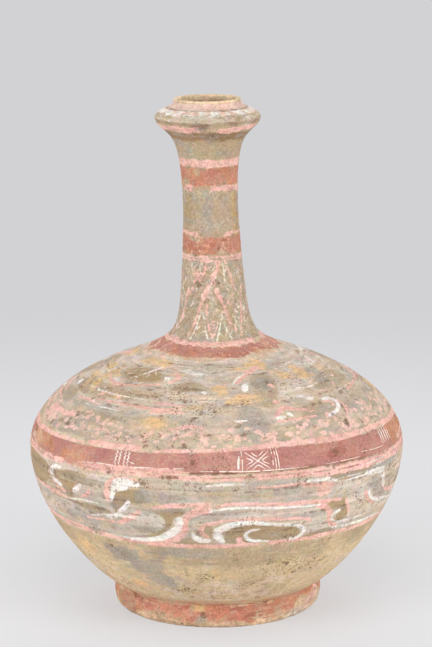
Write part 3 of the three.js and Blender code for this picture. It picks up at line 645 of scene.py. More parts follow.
# (angle, run, half width, half height): chips, each a cluster of small pits
CHIPS = [
    (-14, 151.8, 5.5, 1.5), (-33, 151.4, 3.6, 2.4), (9.4, 150.2, 4.4, 3), (-42.4, 101, 4.6, 3.2),
    (-21.6, 146, 6.5, 2.6), (5.6, 143.6, 2, 1.2), (11.6, 143.4, 1.4, 1), (16, 142, 1.4, 1),
    (24, 144, 2.2, 1.4), (38.6, 162, 3.2, 4.2), (43.6, 154.6, 2.4, 1.2), (38, 153, 1.6, 1),
    (23, 102.4, 3.2, 1), (-5, 118, 1.4, 1.4), (52.5, 108, 2.6, 1.6), (23.6, 63.4, 2.6, 1.8),
    (26.4, 61.4, 2.4, 1.6), (33, 64, 3.4, 3), (30, 60, 3, 3), (18, 78, 2.6, 2.6), (25, 73, 3, 2.6),
    (36, 71, 2.4, 2.4), (-6, 60.6, 1.4, 1.6), (-2, 63, 1, 1.8), (17, 56.6, 1.8, 1.4),
    (-13.4, 45.6, 2.4, 1.6), (-16, 42, 3, 2.4), (-12, 33.4, 3, 2), (19.4, 40.6, 2.6, 1.6),
    (20, 29.4, 4, 2.6), (-38, 88, 4, 4), (-49, 126, 3, 3), (-36.6, 116.6, 2.4, 1.4), (-8, 8, 2, 2.4),
    (-7.5, 163, 6, 5), (-10, 160, 3, 2), (-34, 176, 5, 2.4), (-10, 176, 3, 4), (-18, 222, 5, 2.4),
    (-12, 214, 4, 2), (-30, 218, 6, 1.8), (-5.6, 203, 2.6, 4.4), (-8, 198, 3, 1.6), (48.6, 181, 2, 3),
    (10, 184, 2.2, 2.4), (26, 194, 1.6, 1.4), (0, 206, 4, 3), (-28, 329, 2.4, 2), (6.4, 329.4, 2.2, 1.8),
    (-10, 316, 1.4, 1), (6, 442, 4, 3.4), (-6, 450, 4, 3), (-52, 15, 8, 1.6), (26, 15, 4, 1.2),
    (-27, 128, 1.2, 1),
]

# (angle, run, half width, half height): wider fields of small pits
PIT_FIELDS = [
    (22, 66, 12, 6), (31, 63, 14, 6), (37, 70, 9, 6), (26, 76, 10, 4), (-6, 62, 5, 4), (-14, 43, 8, 5),
    (10, 50, 6, 5), (-10, 200, 16, 10), (4, 212, 16, 6), (-20, 216, 12, 6), (40, 230, 14, 8),
    (-50, 214, 16, 6), (60, 200, 12, 8), (-20, 180, 20, 6), (-60, 118, 14, 8), (8, 118, 6, 4),
    (30, 146, 14, 3), (-10, 146, 16, 3), (0, 162, 10, 5),
]

# (run, depth, half width): incised lines
GROOVES = [
    (154.7, 0.6, 0.75), (263.4, 0.5, 0.7), (339.4, 0.45, 0.6), (345, 0.5, 0.6),
]


def smooth_path(places, closed=False, steps=8):
    """Catmull-Rom curve through given places: each stretch blends the tangents that point from
    the place before to the place after."""
    p = np.array(places, float)
    if closed:
        p = np.vstack([p[-1:], p, p[:2]])
    else:
        p = np.vstack([2 * p[:1] - p[1:2], p, 2 * p[-1:] - p[-2:-1]])
    t = np.linspace(0, 1, steps, endpoint=False)[:, None]
    stretches = []
    for a, b, c, d in zip(p[:-3], p[1:-2], p[2:-1], p[3:]):
        stretches.append(0.5 * (2 * b + (c - a) * t + (2 * a - 5 * b + 4 * c - d) * t ** 2
                                + (3 * b - a - 3 * c + d) * t ** 3))
    return np.vstack(stretches + [p[-2:-1]])


def stroke_distance(points, path, half_widths):
    """Signed distance to a brush stroke: the half width there less the distance to the path."""
    best = np.full(len(points), -FAR)
    for a, b, wide, wide_next in zip(path[:-1], path[1:], half_widths[:-1], half_widths[1:]):
        step = b - a
        t = np.clip((points - a) @ step / max(step @ step, 1e-9), 0, 1)
        gap = np.linalg.norm(points - a - t[:, None] * step, axis=1)
        best = np.maximum(best, wide + (wide_next - wide) * t - gap)
    return best


def shape_distance(across, up, outline):
    """Signed distance to a closed outline in the plane. A point is inside where a ray to the
    right of it crosses the outline an odd number of times."""
    nearest = np.full(len(across), FAR)
    inside = np.zeros(len(across), bool)
    for (ax, ay), (bx, by) in zip(outline, np.roll(outline, -1, axis=0)):
        dx, dy = bx - ax, by - ay
        t = np.clip(((across - ax) * dx + (up - ay) * dy) / max(dx * dx + dy * dy, 1e-9), 0, 1)
        nearest = np.minimum(nearest, np.hypot(across - ax - t * dx, up - ay - t * dy))
        if dy:
            crosses = ((up >= ay) != (up >= by)) & (across < ax + (up - ay) * dx / dy)
            inside ^= crosses
    return np.where(inside, nearest, -nearest)


def repeats(marks, rng):
    """The front marks as they are, and two further sets a third of a turn apart that fill the
    back, each mark nudged a little as a hand would."""
    for turn in THIRDS:
        for *head, places in marks:
            places = np.array(places, float)
            middle = wrapped(places[:, 0].mean() + turn)
            nudge = rng.normal(0, 1, 2) * (1.2, 0.5)
            if turn == 0:
                yield (*head, places)
            elif abs(middle) > MARKS_AGAIN:
                yield (*head, places + (turn, 0) + nudge)


def repeated_spots(spots, rng):
    """The same for spots given as (what they are, angle, run, half width, half height)."""
    marks = [(*head, wide, tall, [(at, level)]) for *head, at, level, wide, tall in spots]
    for *head, places in repeats(marks, rng):
        yield (*head, *places[0])


# How many random marks there are, where the scribbles lie and what they are painted in
LARGE_DABS, SMALL_DABS, SCRIBBLES = 420, 520, 210
SCRIBBLE_ANGLES, SCRIBBLE_SPREAD = (-54, 66, 186), 8
SCRIBBLE_LAYERS = {"white": 0.3, "dab": 0.25, "pink": 0.15, "soil": 0.1, "olive": 0.2}
SOIL_SHARE = 0.14


def dabs(rng):
    """Round dabs of pink strewn over the lower shoulder, larger ones to the right of each front
    and smaller, closer ones to the left, then small specks of pink and soil among them."""
    for _ in range(LARGE_DABS):
        angle, run = rng.uniform(-180, 180), rng.triangular(172.5, 177, 197)
        width = rng.uniform(2.0, 3.4) if wrapped(3 * angle) < 0 else rng.uniform(2.6, 4.4)
        end = (angle + rng.uniform(0.2, 1.0), run)
        yield "dab", (width, width, width * 0.8), np.array([(angle, run), end])
    for _ in range(SMALL_DABS):
        angle, run = rng.uniform(-180, 180), rng.triangular(172, 175, 192)
        width = rng.uniform(0.7, 1.7)
        layer = "soil" if rng.random() < SOIL_SHARE else "dab"
        end = (angle + rng.uniform(0.2, 0.8), run)
        yield layer, (width, width, width), np.array([(angle, run), end])


def smears(rng):
    """Long level smears of thinned colour, as a brush leaves them on a slowly turning vase."""
    for layer, low, high, count, longest, widest in SMEARS:
        for _ in range(count):
            at, level = rng.uniform(-180, 180), rng.uniform(low, high)
            yield layer, rng.uniform(0.25, 1) * longest, rng.uniform(0.35, 1) * widest, at, level


def hatching(rng):
    """Short thin strokes up the neck: darker red and pale scratches on its two lower red bands, and
    slanting pale ones between them."""
    for layer, low, high, count, longest, slant in HATCHES:
        for _ in range(count):
            rise = rng.uniform(0.4, 1) * longest
            angle, start = rng.uniform(-180, 180), rng.uniform(low, high - rise)
            end = (angle + rise * rng.normal(0, slant), start + rise)
            wide = rng.uniform(0.7, 1.3) if layer in ("wine", "olive") else rng.uniform(0.1, 0.6)
            yield layer, (wide - 0.2, wide, wide - 0.2), np.array([(angle, start), end])


def scribbles(rng):
    """Short thin strokes in all directions at the right of each front, high on the shoulder."""
    layers, shares = list(SCRIBBLE_LAYERS), list(SCRIBBLE_LAYERS.values())
    for _ in range(SCRIBBLES):
        angle = rng.choice(SCRIBBLE_ANGLES) + rng.normal(0, SCRIBBLE_SPREAD)
        run = rng.uniform(202, 248)
        layer = rng.choice(layers, p=shares)
        long, slope = rng.uniform(2, 6), rng.uniform(-0.9, 0.9)
        wide = rng.uniform(0.3, 1.1)
        end = (angle + long * 0.7, run + long * slope)
        yield layer, (wide, wide, wide * 0.6), np.array([(angle, run), end])


def edge_run(edge, angle):
    """An edge's run at angles, straight between the places that it passes through."""
    places = np.array(edge if np.ndim(edge) else [(0, edge)], float)
    return np.interp(angle, places[:, 0], places[:, 1], period=360)


def lay(layers, layer, near, value):
    """Adds a mark's signed distance to a layer, where the larger of the two holds."""
    layers[layer][near] = np.maximum(layers[layer][near], value)


# Radius of the circle that a streaked haze's noise is taken on, and its climb per millimetre
STREAK_RADIUS, STREAK_CLIMB = 90, 2.4


def lay_hazes(layers, angle, run, points):
    """Hazes: the distance into a zone, no more than its level, plus a slow noise. The noise is
    drawn out round the vase on the belt and the shoulder, where the colour was brushed on."""
    turn = np.radians(angle)
    level_streaks = np.stack([STREAK_RADIUS * np.sin(turn), -STREAK_RADIUS * np.cos(turn),
                              STREAK_CLIMB * run], 1)
    for layer, low, high, level, patch, spread in HAZES:
        near = (run > low - 4) & (run < high + 4)
        edge = np.minimum(run[near] - low, high - run[near]) * 0.5
        place = level_streaks[near] if BELT_RUN < low < ROOT_RUN else points[near]
        drift = spread * (cloud(place, patch, seed=len(layer) * 7 + int(low)) - 0.5)
        lay(layers, layer, near, np.minimum(edge, level) + drift)


def lay_stains(layers, angle, run, points, rng):
    """Stains and smears: ellipses whose edge is broken by a noise."""
    uneven = cloud(points, 9, seed=77, octaves=4) - 0.5
    for layer, wide, tall, at, level in [*repeated_spots(STAINS, rng), *smears(rng)]:
        near = np.abs(run - level) < 2 * tall + 2
        off = np.hypot(wrapped(angle[near] - at) / wide, (run[near] - level) / tall)
        reach = min(tall, math.radians(wide) * radius_at(level))
        lay(layers, layer, near, np.clip((1 - off + 2.2 * uneven[near]) * reach, -FAR, 4))


def lay_bands(layers, angle, run, points):
    """Bands: the distance to the nearer edge, where both edges waver as two sines round the vase
    and are ragged with a noise."""
    for layer, low, high, waver, ragged in BANDS:
        low, high = edge_run(low, angle), edge_run(high, angle)
        seed = int(np.mean(low))
        near = (run > np.min(low) - 5) & (run < np.max(high) + 5)
        turn = np.radians(angle[near])
        shift = waver * np.sin(3 * turn + seed) + 0.5 * waver * np.sin(7 * turn + 2 * seed)
        uneven = ragged * (cloud(points[near], 6, seed) - 0.5) * 2
        value = np.minimum(run[near] - low[near] - shift, high[near] + shift - run[near]) + uneven
        lay(layers, layer, near, np.clip(value, -FAR, FAR))


def wear_gaps(layers, angle, run, points):
    """Takes away from a layer inside an ellipse whose edge is broken by a noise."""
    for layer, at, level, wide, tall in WORN_GAPS:
        near = np.abs(run - level) < 3 * tall + 4
        off = np.hypot(wrapped(angle[near] - at) / wide, (run[near] - level) / tall)
        gap = (off - 1) * tall + 3.0 * (cloud(points[near], 3, seed=5) - 0.5)
        layers[layer][near] = np.minimum(layers[layer][near], gap)


def lay_strokes(layers, angle, run, points, rng):
    """Brush strokes, of which the neck's pink ones are broken by a noise."""
    lowest, highest = run.min() - 6, run.max() + 6
    broken = cloud(points, 2.6, seed=88, octaves=2) - 0.5
    marks = [*repeats(SCROLL_STROKES, rng), *repeats(SHOULDER_STROKES, rng),
             *repeats(NECK_STROKES, rng), *dabs(rng), *hatching(rng), *scribbles(rng)]
    for layer, widths, places in marks:
        if places[:, 1].max() < lowest or places[:, 1].min() > highest:
            continue
        path = smooth_path(places)
        reach = max(widths) / 2 + 4
        near = (run > path[:, 1].min() - reach) & (run < path[:, 1].max() + reach)
        middle = (path[:, 0].min() + path[:, 0].max()) / 2
        around = max(radius_at(path[:, 1].mean()), 20)
        half_turn = np.ptp(path[:, 0]) / 2 + math.degrees(reach / around) * 1.4
        near &= np.abs(wrapped(angle - middle)) < half_turn
        half_widths = np.interp(np.linspace(0, 1, len(path)), (0, 0.5, 1), widths) / 2
        value = stroke_distance(points[near], wall_point(path[:, 0], path[:, 1]), half_widths)
        if layer == "pink":
            value += 3.2 * broken[near] - 0.25 if path[0, 1] > ROOT_RUN else 0.3
        lay(layers, layer, near, value)


def lay_shapes(layers, angle, run, rng):
    """Closed outlines, flattened round their own centre."""
    shapes = [*repeats(SCROLL_SHAPES, rng), *repeats(SHOULDER_SHAPES, rng),
              *repeats(NECK_SHAPES, rng)]
    for layer, places in shapes:
        path = smooth_path(places, closed=True, steps=5)[:-1]
        centre = path.mean(axis=0)
        scale = math.radians(radius_at(centre[1]))
        outline = np.stack([(path[:, 0] - centre[0]) * scale, path[:, 1] - centre[1]], 1)
        across, up = wrapped(angle - centre[0]) * scale, run - centre[1]
        side, top = np.abs(outline).max(axis=0) + 5
        near = (np.abs(across) < side) & (np.abs(up) < top)
        lay(layers, layer, near, shape_distance(across[near], up[near], outline))


# How pitted the body's and the neck's patches are, where the neck's begin, and what comes off
# higher up, as (run, change)
BODY_PITS, NECK_PITS, NECK_PITS_RUN = 0.5, 0.15, 262
FEWER_PITS = [(255, 0), (290, -0.1), (396, -0.1), (420, -0.4)]


def find_pits(layers, angle, run, points, rng):
    """How pitted the wall is, from 0 to 1: a slow noise, and more near chips and pit fields. Soil
    lies in the middle of each chip."""
    radius = radius_at(run)
    patches = smooth_step(cloud(points, 24, seed=61), 0.56, 0.72)
    pitted = np.where(run < NECK_PITS_RUN, BODY_PITS, NECK_PITS) * patches
    pitted += np.interp(run, *zip(*FEWER_PITS))

    def spot(wide, tall, at, level):
        near = np.abs(run - level) < 3 * tall + 2
        across = np.radians(wrapped(angle[near] - at)) * radius[near]
        return near, np.hypot(across / wide, (run[near] - level) / tall)

    for wide, tall, at, level in repeated_spots(CHIPS, rng):
        near, off = spot(wide, tall, at, level)
        pitted[near] = np.maximum(pitted[near], np.clip(1.5 - 0.8 * off, 0, 1))
        uneven = 5.0 * (cloud(points[near], 1.5, seed=9, octaves=2) - 0.5)
        value = (0.4 - off) * min(wide, tall) + uneven
        lay(layers, "soil", near, np.clip(value, -FAR, 0.7))
    for wide, tall, at, level in repeated_spots(PIT_FIELDS, rng):
        near, off = spot(wide, tall, at, level)
        most = 0.95 if level < 100 else 0.5
        pitted[near] = np.maximum(pitted[near], np.clip(1.1 - 0.6 * off, 0, most))
    return pitted


PAINT_SEED = 41


def paint_layers(angle, run):
    """Every layer's signed distance at places on the wall, as flat arrays, and how pitted the
    wall is there, from 0 to 1. The order of the steps sets the random draws."""
    rng = np.random.default_rng(PAINT_SEED)
    points = wall_point(angle, run)
    layers = {name: np.full(len(run), -FAR) for name in LAYERS}
    lay_hazes(layers, angle, run, points)
    lay_stains(layers, angle, run, points, rng)
    lay_bands(layers, angle, run, points)
    wear_gaps(layers, angle, run, points)
    lay_strokes(layers, angle, run, points, rng)
    lay_shapes(layers, angle, run, rng)
    return layers, find_pits(layers, angle, run, points, rng)


# Relief in millimetres. Everything is sunk a little, so that the section keeps to its size.
SUNK = 0.25
OVAL, THREE_SIDED, LUMPS, ROUGHNESS = 0.2, 0.12, 0.45, 0.26
RING_HEIGHT, RINGS_PER_RUN = 0.06, 1.15
PAINT_THICKNESS = {"red": 0.05, "dab": 0.08, "pink": 0.12, "white": 0.22}
SOIL_DEPTH, FOOT_WEAR, RIM_WEAR = 0.32, 1.1, 0.7


def relief(angle, run, layers):
    """Height of the surface over the smooth outline: the slow unevenness of hand throwing, turning
    rings, incised lines, the thickness of the paint, and chips."""
    points = wall_point(angle, run)
    turn = np.radians(angle)
    hand = np.clip(radius_at(run) / BELLY_RADIUS, 0.25, 1)
    uneven = OVAL * np.sin(2 * turn + 0.6) + THREE_SIDED * np.sin(3 * turn + run / 37)
    rings = RING_HEIGHT * np.sin(run * RINGS_PER_RUN + 0.6 * np.sin(turn))
    height = hand * uneven - SUNK
    height += rings + LUMPS * hand * (cloud(points, 26, seed=3) - 0.5)
    height += ROUGHNESS * (cloud(points, 3.2, seed=4) - 0.5)
    for level, depth, half_width in GROOVES:
        height -= depth * np.exp(-((run - level) / half_width) ** 2)
    for layer, thick in PAINT_THICKNESS.items():
        height += thick * smooth_step(layers[layer], -0.4, 0.6)
    height -= SOIL_DEPTH * smooth_step(layers["soil"], -0.6, 0.9)
    from_rim = np.abs(run - run_at(RIM_HEIGHT))
    foot_chips = smooth_step(cloud(points, 6, seed=12), 0.52, 0.72) * smooth_step(1.0 - run, 0, 3)
    rim_chips = smooth_step(cloud(points, 5, seed=13), 0.55, 0.75) * smooth_step(2.0 - from_rim, 0, 2)
    return height - FOOT_WEAR * foot_chips - RIM_WEAR * rim_chips


# Rows of a profile: radius, height, run, and 1 on the outside skin or 0 elsewhere

def skin_rows(low, high, spacing):
    """Rows of the outside from one run to another, closer together across the incised lines."""
    runs = np.linspace(low, high, int((high - low) / spacing) + 2)
    for level, _, half_width in GROOVES:
        extra = level + half_width * np.array([-1.8, -1.2, -0.8, -0.4, 0, 0.4, 0.8, 1.2, 1.8])
        runs = np.concatenate([runs, extra[(extra > low) & (extra < high)]])
    runs = np.unique(runs)
    keep = np.concatenate([[True], np.diff(runs) > CLOSEST_ROWS])
    keep[-1] = True
    runs = runs[keep]
    return np.stack([radius_at(runs), height_at(runs), runs, np.ones(len(runs))], 1)


def plain_rows(points):
    """Rows that hold no paint and no relief."""
    points = np.array(points, float)
    return np.hstack([points, np.zeros((len(points), 2))])


def inside_rows(low, high, spacing, ripple=0.0):
    """Rows of the inside between two heights, from the top down, with the throwing rings as a
    sine along the wall."""
    line = INSIDE[(INSIDE[:, 1] > low) & (INSIDE[:, 1] < high)]
    line = np.vstack([inside_at(low), line, inside_at(high)])
    along = lengths(line)
    steps = np.linspace(0, along[-1], int(along[-1] / spacing) + 2)
    radius = np.interp(steps, along, line[:, 0])
    height = np.interp(steps, along, line[:, 1])
    ends = np.clip(np.minimum(steps, along[-1] - steps) / 4, 0, 1)
    radius = radius - ripple * ends * (1 + np.sin(steps * 1.05))
    return plain_rows(np.stack([radius, height], 1)[::-1])


def face_points(height, step):
    """A seam's face from the outside in: the land, the step behind it and the scored seat."""
    edge = float(np.interp(height, body_outline[:, 1], body_outline[:, 0]))
    return [(edge - LAND_WIDTH, height), (edge - LAND_WIDTH, height + step), inside_at(height + step)]


def section_rows(low, high, spacing, inside_spacing, ripple=0.0):
    """Closed profile of a section between two seams."""
    top, bottom = face_points(high, -SCORE_DEPTH), face_points(low, SCORE_DEPTH)
    return np.vstack([
        skin_rows(run_at(low), run_at(high), spacing),
        plain_rows(top[:2]),
        inside_rows(low + SCORE_DEPTH, high - SCORE_DEPTH, inside_spacing, ripple),
        plain_rows(bottom[1::-1]),
    ])


def foot_rows():
    """Closed profile of the foot ring."""
    seat_land = FOOT_RADIUS - LAND_WIDTH
    return np.vstack([
        skin_rows(OUTLINE_RUN[0], SEAT_RUN, FOOT_ROW),
        plain_rows([(seat_land, FOOT_HEIGHT), (seat_land, FOOT_HEIGHT - SCORE_DEPTH),
                    (FOOT_INNER_RADIUS, FOOT_HEIGHT - SCORE_DEPTH)]),
        plain_rows([(FOOT_INNER_RADIUS, z) for z in np.linspace(FOOT_HEIGHT - 2.5, FOOT_EDGE, 6)]),
        plain_rows([(FOOT_INNER_RADIUS + FOOT_EDGE * 0.4, FOOT_EDGE * 0.4),
                    (FOOT_INNER_RADIUS + FOOT_EDGE, 0)]),
        plain_rows([(r, 0) for r in np.linspace(FOOT_INNER_RADIUS + 4, FOOT_RADIUS - FOOT_EDGE - 1, 4)]),
    ])


def bowl_rows():
    """Profile of the lower bowl from the axis under its floor to the axis on its floor."""
    seat_inner = FOOT_INNER_RADIUS + SLIP_CLEARANCE
    seat_land = FOOT_RADIUS - LAND_WIDTH
    floor_top = FOOT_HEIGHT - FLOOR_DIP + FLOOR_THICKNESS
    turn_in = wall_foot[0] - (wall_foot[1] - floor_top) / math.tan(math.radians(BOWL_SLOPE))
    t = np.linspace(1, 0, 12)[:, None]
    inner_floor = (t ** 2 * wall_foot + 2 * t * (1 - t) * np.array([turn_in, floor_top])
                   + (1 - t) ** 2 * np.array([0, floor_top]))
    underside = sweep((0, FOOT_HEIGHT - FLOOR_DIP), 0, 0.4, (seat_inner, FOOT_HEIGHT), 6, 0.3, 10)
    top = face_points(BELLY_SEAM, -SCORE_DEPTH)
    return np.vstack([
        plain_rows(underside),
        plain_rows([(seat_inner, FOOT_HEIGHT + SCORE_DEPTH), (seat_land, FOOT_HEIGHT + SCORE_DEPTH),
                    (seat_land, FOOT_HEIGHT)]),
        skin_rows(SEAT_RUN, run_at(BELLY_SEAM), BODY_ROW),
        plain_rows(top[:2]),
        inside_rows(wall_foot[1], BELLY_SEAM - SCORE_DEPTH, BODY_INSIDE_ROW),
        plain_rows(inner_floor[1:]),
    ])


def mouth_rows():
    """Closed profile of the mouth, over the rounded lip and down its hollow."""
    turn = np.radians(np.linspace(0, 180, 15)[1:-1])
    half = LIP_THICKNESS / 2
    lip = np.stack([LIP_RADIUS - half + half * np.cos(turn),
                    VASE_HEIGHT - half + half * np.sin(turn)], 1)
    bottom = face_points(MOUTH_SEAM, SCORE_DEPTH)
    return np.vstack([
        skin_rows(run_at(MOUTH_SEAM), OUTLINE_RUN[-1], MOUTH_ROW),
        plain_rows(lip),
        inside_rows(MOUTH_SEAM + SCORE_DEPTH, lip_inside[1], MOUTH_INSIDE_ROW, 0.12),
        plain_rows(bottom[1::-1]),
    ])


def grid_quads(rows, columns, last_row):
    """Corner numbers of a grid's faces, where the columns close into a ring and the rows are
    joined up to the last row, after which they close too."""
    i, j = np.meshgrid(np.arange(last_row), np.arange(columns), indexing="ij")
    up, right = (i + 1) % rows, (j + 1) % columns
    quads = np.stack([i * columns + j, i * columns + right,
                      up * columns + right, up * columns + j], -1)
    return quads.reshape(-1, 4)


# How strongly the brush's streaks show, as (run, strength)
BRUSHED = [
    (0, 0.9), (16, 0.2), (90, 0.2), (100, 1), (148, 1), (152, 0.3), (170, 0.3), (174, 0.5), (192, 0.6),
    (200, 0.8), (262, 0.8), (270, 0.4), (285, 0.4), (346, 0.4), (366, 0.3), (396, 0.3), (420, 0.4),
    (446, 0.5), (452, 0.6), (474, 0.4),
]


def wall_section(name, rows, columns, poles=False):
    """A closed grid: each profile row turned about the axis in even columns. Skin rows are raised
    along the wall's normal by the relief. With poles, the first and last rows are single points
    on the axis."""
    ring = rows[1:-1] if poles else rows
    count = len(ring)
    angle = np.tile(-180 + 360 * np.arange(columns) / columns, count)
    radius, height, run, skin = (np.repeat(ring[:, i], columns) for i in range(4))
    points = turned(angle, radius, height)
    painted = skin > 0.5
    found, pitted = paint_layers(angle[painted], run[painted])
    raised = relief(angle[painted], run[painted], found)
    points[painted] += wall_normal(angle[painted], run[painted]) * raised[:, None]
    values = {layer: np.full(len(run), -FAR) for layer in LAYERS}
    for layer in LAYERS:
        values[layer][painted] = found[layer]
    # Painted light: the lip and the inside of the mouth get a pale coat, laid in the ochre layer, that
    # stands in for light falling there
    lip_painted_light = ~painted & (height > VASE_HEIGHT - LIP_DEPTH)
    values["ochre"] = np.where(lip_painted_light, LIP_PAINTED_LIGHT, values["ochre"])
    values["run"] = np.where(painted, run, height)
    values["pitted"] = np.zeros(len(run))
    values["pitted"][painted] = pitted
    values["brushed"] = np.where(painted, np.interp(run, *zip(*BRUSHED)), 0.5)
    quads = grid_quads(count, columns, count - 1 if poles else count)
    triangles = np.zeros((0, 3), int)
    if poles:
        points = np.vstack([points, [[0, 0, rows[0, 1]], [0, 0, rows[-1, 1]]]])
        values = {label: np.append(numbers, numbers[[0, -1]]) for label, numbers in values.items()}
        column = np.arange(columns)
        beside = (column + 1) % columns
        last = (count - 1) * columns
        low_pole, high_pole = np.full((2, columns), [[count * columns], [count * columns + 1]])
        triangles = np.vstack([
            np.stack([low_pole, beside, column], 1),
            np.stack([last + column, last + beside, high_pole], 1),
        ])
    return mesh_object(name, points, quads, triangles, values)


def mesh_object(name, points, quads, triangles, values):
    """A smooth-shaded mesh in metres from points in millimetres, with a number per vertex for
    each named attribute."""
    mesh = bpy.data.meshes.new(name)
    corners = np.concatenate([quads.ravel(), triangles.ravel()])
    sizes = np.concatenate([np.full(len(quads), 4), np.full(len(triangles), 3)])
    starts = np.concatenate([[0], np.cumsum(sizes)[:-1]])
    mesh.vertices.add(len(points))
    mesh.vertices.foreach_set("co", (points * MM).astype(np.float32).ravel())
    mesh.loops.add(len(corners))
    mesh.loops.foreach_set("vertex_index", corners.astype(np.int32))
    mesh.polygons.add(len(sizes))
    mesh.polygons.foreach_set("loop_start", starts.astype(np.int32))
    mesh.polygons.foreach_set("loop_total", sizes.astype(np.int32))
    mesh.update(calc_edges=True)
    mesh.polygons.foreach_set("use_smooth", np.ones(len(sizes), bool))
    for label, numbers in values.items():
        attribute = mesh.attributes.new(label, "FLOAT", "POINT")
        attribute.data.foreach_set("value", numbers.astype(np.float32))
    mesh.validate()
    return placed_object(name, mesh)


def placed_object(name, data):
    """A new object of the scene that holds a mesh, lamp or camera."""
    added = bpy.data.objects.new(name, data)
    bpy.context.scene.collection.objects.link(added)
    return added


# Fine lines of thick white slip, laid on the wall as ribbons: (width, places)
X_LEFT, X_RIGHT, X_LOW, X_HIGH = 8.6, 16.0, 157.0, 169.6
FINE_LINES = [
    (1.9, [(6.4, 157), (6.5, 162), (6.8, 167)]),
    (0.8, [(7.6, 156), (7.7, 163), (7.5, 171)]),
    (0.8, [(16.9, 156), (17, 163), (16.8, 172)]),
    (0.85, [(17.8, 156), (17.9, 163), (17.7, 172.4)]),
    (0.85, [(18.7, 156.4), (18.7, 163), (18.5, 171)]),
    (0.95, [(X_LEFT, X_HIGH), (12.4, 163), (X_RIGHT, X_LOW)]),
    (0.95, [(X_RIGHT, X_HIGH), (12.4, 163), (X_LEFT, X_LOW)]),
    (0.85, [(10.4, 169.6), (12.4, 166.2), (14.4, 169.8)]),
    (0.85, [(10.6, 156.6), (12.4, 159.8), (14.4, 156.8)]),
    (0.85, [(15.8, 166), (13.8, 163), (15.8, 160.2)]),
    (0.85, [(8.8, 165.6), (10.8, 163), (8.8, 160.4)]),
    (0.9, [(-26, 156.6), (-22, 157.2), (-18, 157.6)]),
    (0.9, [(-17, 157.4), (-14, 157.8), (-9.6, 158.2)]),
    (0.9, [(-5, 156.6), (2, 156.4), (9, 155.9), (18, 155.7), (28, 155.2)]),
    (0.9, [(49, 157.2), (55, 156), (62, 155)]),
    (0.9, [(-26.6, 160), (-25, 159.4)]),
    (0.8, [(-46, 153.6), (-38, 156), (-32, 156.2)]),
    (0.7, [(34, 154.8), (42, 154.4), (48, 154)]),
]

# (angle, number of waves) of the wavy lines up the red band
WAVY_LINES = [
    (-31.6, 4), (-30.3, 5), (-28.6, 5), (-27.4, 4), (61.6, 5), (63, 5), (64.6, 5), (66.2, 5), (67.6, 4),
]


def wavy_line(angle, waves):
    """A line up the red band that swings from side to side."""
    t = np.linspace(0, 1, 4 * waves + 1)
    return [(angle + 0.32 * math.sin(2 * math.pi * waves * s), 157.0 + 11 * s) for s in t]


def fine_line_list():
    """The front's fine lines, and the two other panels a third of a turn round."""
    lines = FINE_LINES + [(0.95, wavy_line(*wave)) for wave in WAVY_LINES]
    for turn in THIRDS:
        for width, places in lines:
            moved = [(angle + turn, run) for angle, run in places]
            middle = wrapped(np.mean([angle for angle, _ in moved]))
            if turn == 0 or abs(middle) > LINES_AGAIN:
                yield width, moved


def slip_ribbons(name):
    """Ribbons with a low rounded section, closed at both ends, that follow paths on the wall.
    Each sinks where a slow noise along it falls low, as worn slip does."""
    section = np.array([(-0.5, -0.12), (-0.28, 0.10), (0, 0.16),
                        (0.28, 0.10), (0.5, -0.12), (0, -0.3)])
    sides = len(section)
    fan = np.array([(0, k, k + 1) for k in range(1, sides - 1)])
    paths, widths = [], []
    for width, places in fine_line_list():
        path = smooth_path(places, steps=10)
        along = lengths(wall_point(path[:, 0], path[:, 1]))
        steps = np.linspace(0, along[-1], max(int(along[-1] / 0.7), 3))
        paths.append(np.stack([np.interp(steps, along, line) for line in path.T], 1))
        widths.append(width)
    angle, run = np.vstack(paths).T
    heights = relief(angle, run, paint_layers(angle, run)[0])
    normals = wall_normal(angle, run)
    centres = wall_point(angle, run) + normals * heights[:, None]
    all_points, all_quads, all_ends = [], [], []
    first, done = 0, 0
    for path, width in zip(paths, widths):
        count = len(path)
        centre, normal = centres[done:done + count], normals[done:done + count]
        side = np.cross(np.gradient(centre, axis=0), normal)
        side /= np.linalg.norm(side, axis=1, keepdims=True)
        rounded = np.sqrt(np.sin(np.linspace(0.12, np.pi - 0.12, count)))
        thick = 1.15 * width * (0.7 + 0.6 * cloud(centre, 2, seed=22, octaves=2)) * rounded
        sunk = 0.35 * (1 - smooth_step(cloud(centre, 4, seed=21, octaves=2), 0.24, 0.34))
        rings = (centre[:, None] + side[:, None] * section[None, :, :1] * thick[:, None, None]
                 + normal[:, None] * (section[None, :, 1:] - sunk[:, None, None]))
        all_points.append(rings.reshape(-1, 3))
        all_quads.append(grid_quads(count, sides, count - 1) + first)
        all_ends += [first + fan[:, ::-1], first + (count - 1) * sides + fan]
        first += count * sides
        done += count
    points = np.vstack(all_points)
    values = {"run": points[:, 2], "pitted": np.zeros(len(points)),
              "brushed": np.full(len(points), 0.3)}
    return mesh_object(name, points, np.vstack(all_quads), np.vstack(all_ends), values)


# Shader groups

def srgb(red, green, blue):
    """Linear colour of 0 to 255 screen values."""
    c = np.array([red, green, blue]) / 255
    return (*np.where(c <= 0.04045, c / 12.92, ((c + 0.055) / 1.055) ** 2.4), 1.0)


def set_inputs(tree, node, inputs):
    """Links a node's inputs to sockets, or sets them to values."""
    for key, value in inputs.items():
        if isinstance(value, bpy.types.NodeSocket):
            tree.links.new(value, node.inputs[key])
        else:
            node.inputs[key].default_value = value


def add_node(tree, kind, inputs=None, **settings):
    """A node with its settings and inputs."""
    node = tree.nodes.new(kind)
    for key, value in settings.items():
        setattr(node, key, value)
    set_inputs(tree, node, inputs or {})
    return node


def calculate(tree, operation, first, second=0.0, third=0.0):
    """Output of a Math node."""
    inputs = {0: first, 1: second, 2: third}
    return add_node(tree, "ShaderNodeMath", inputs, operation=operation).outputs[0]


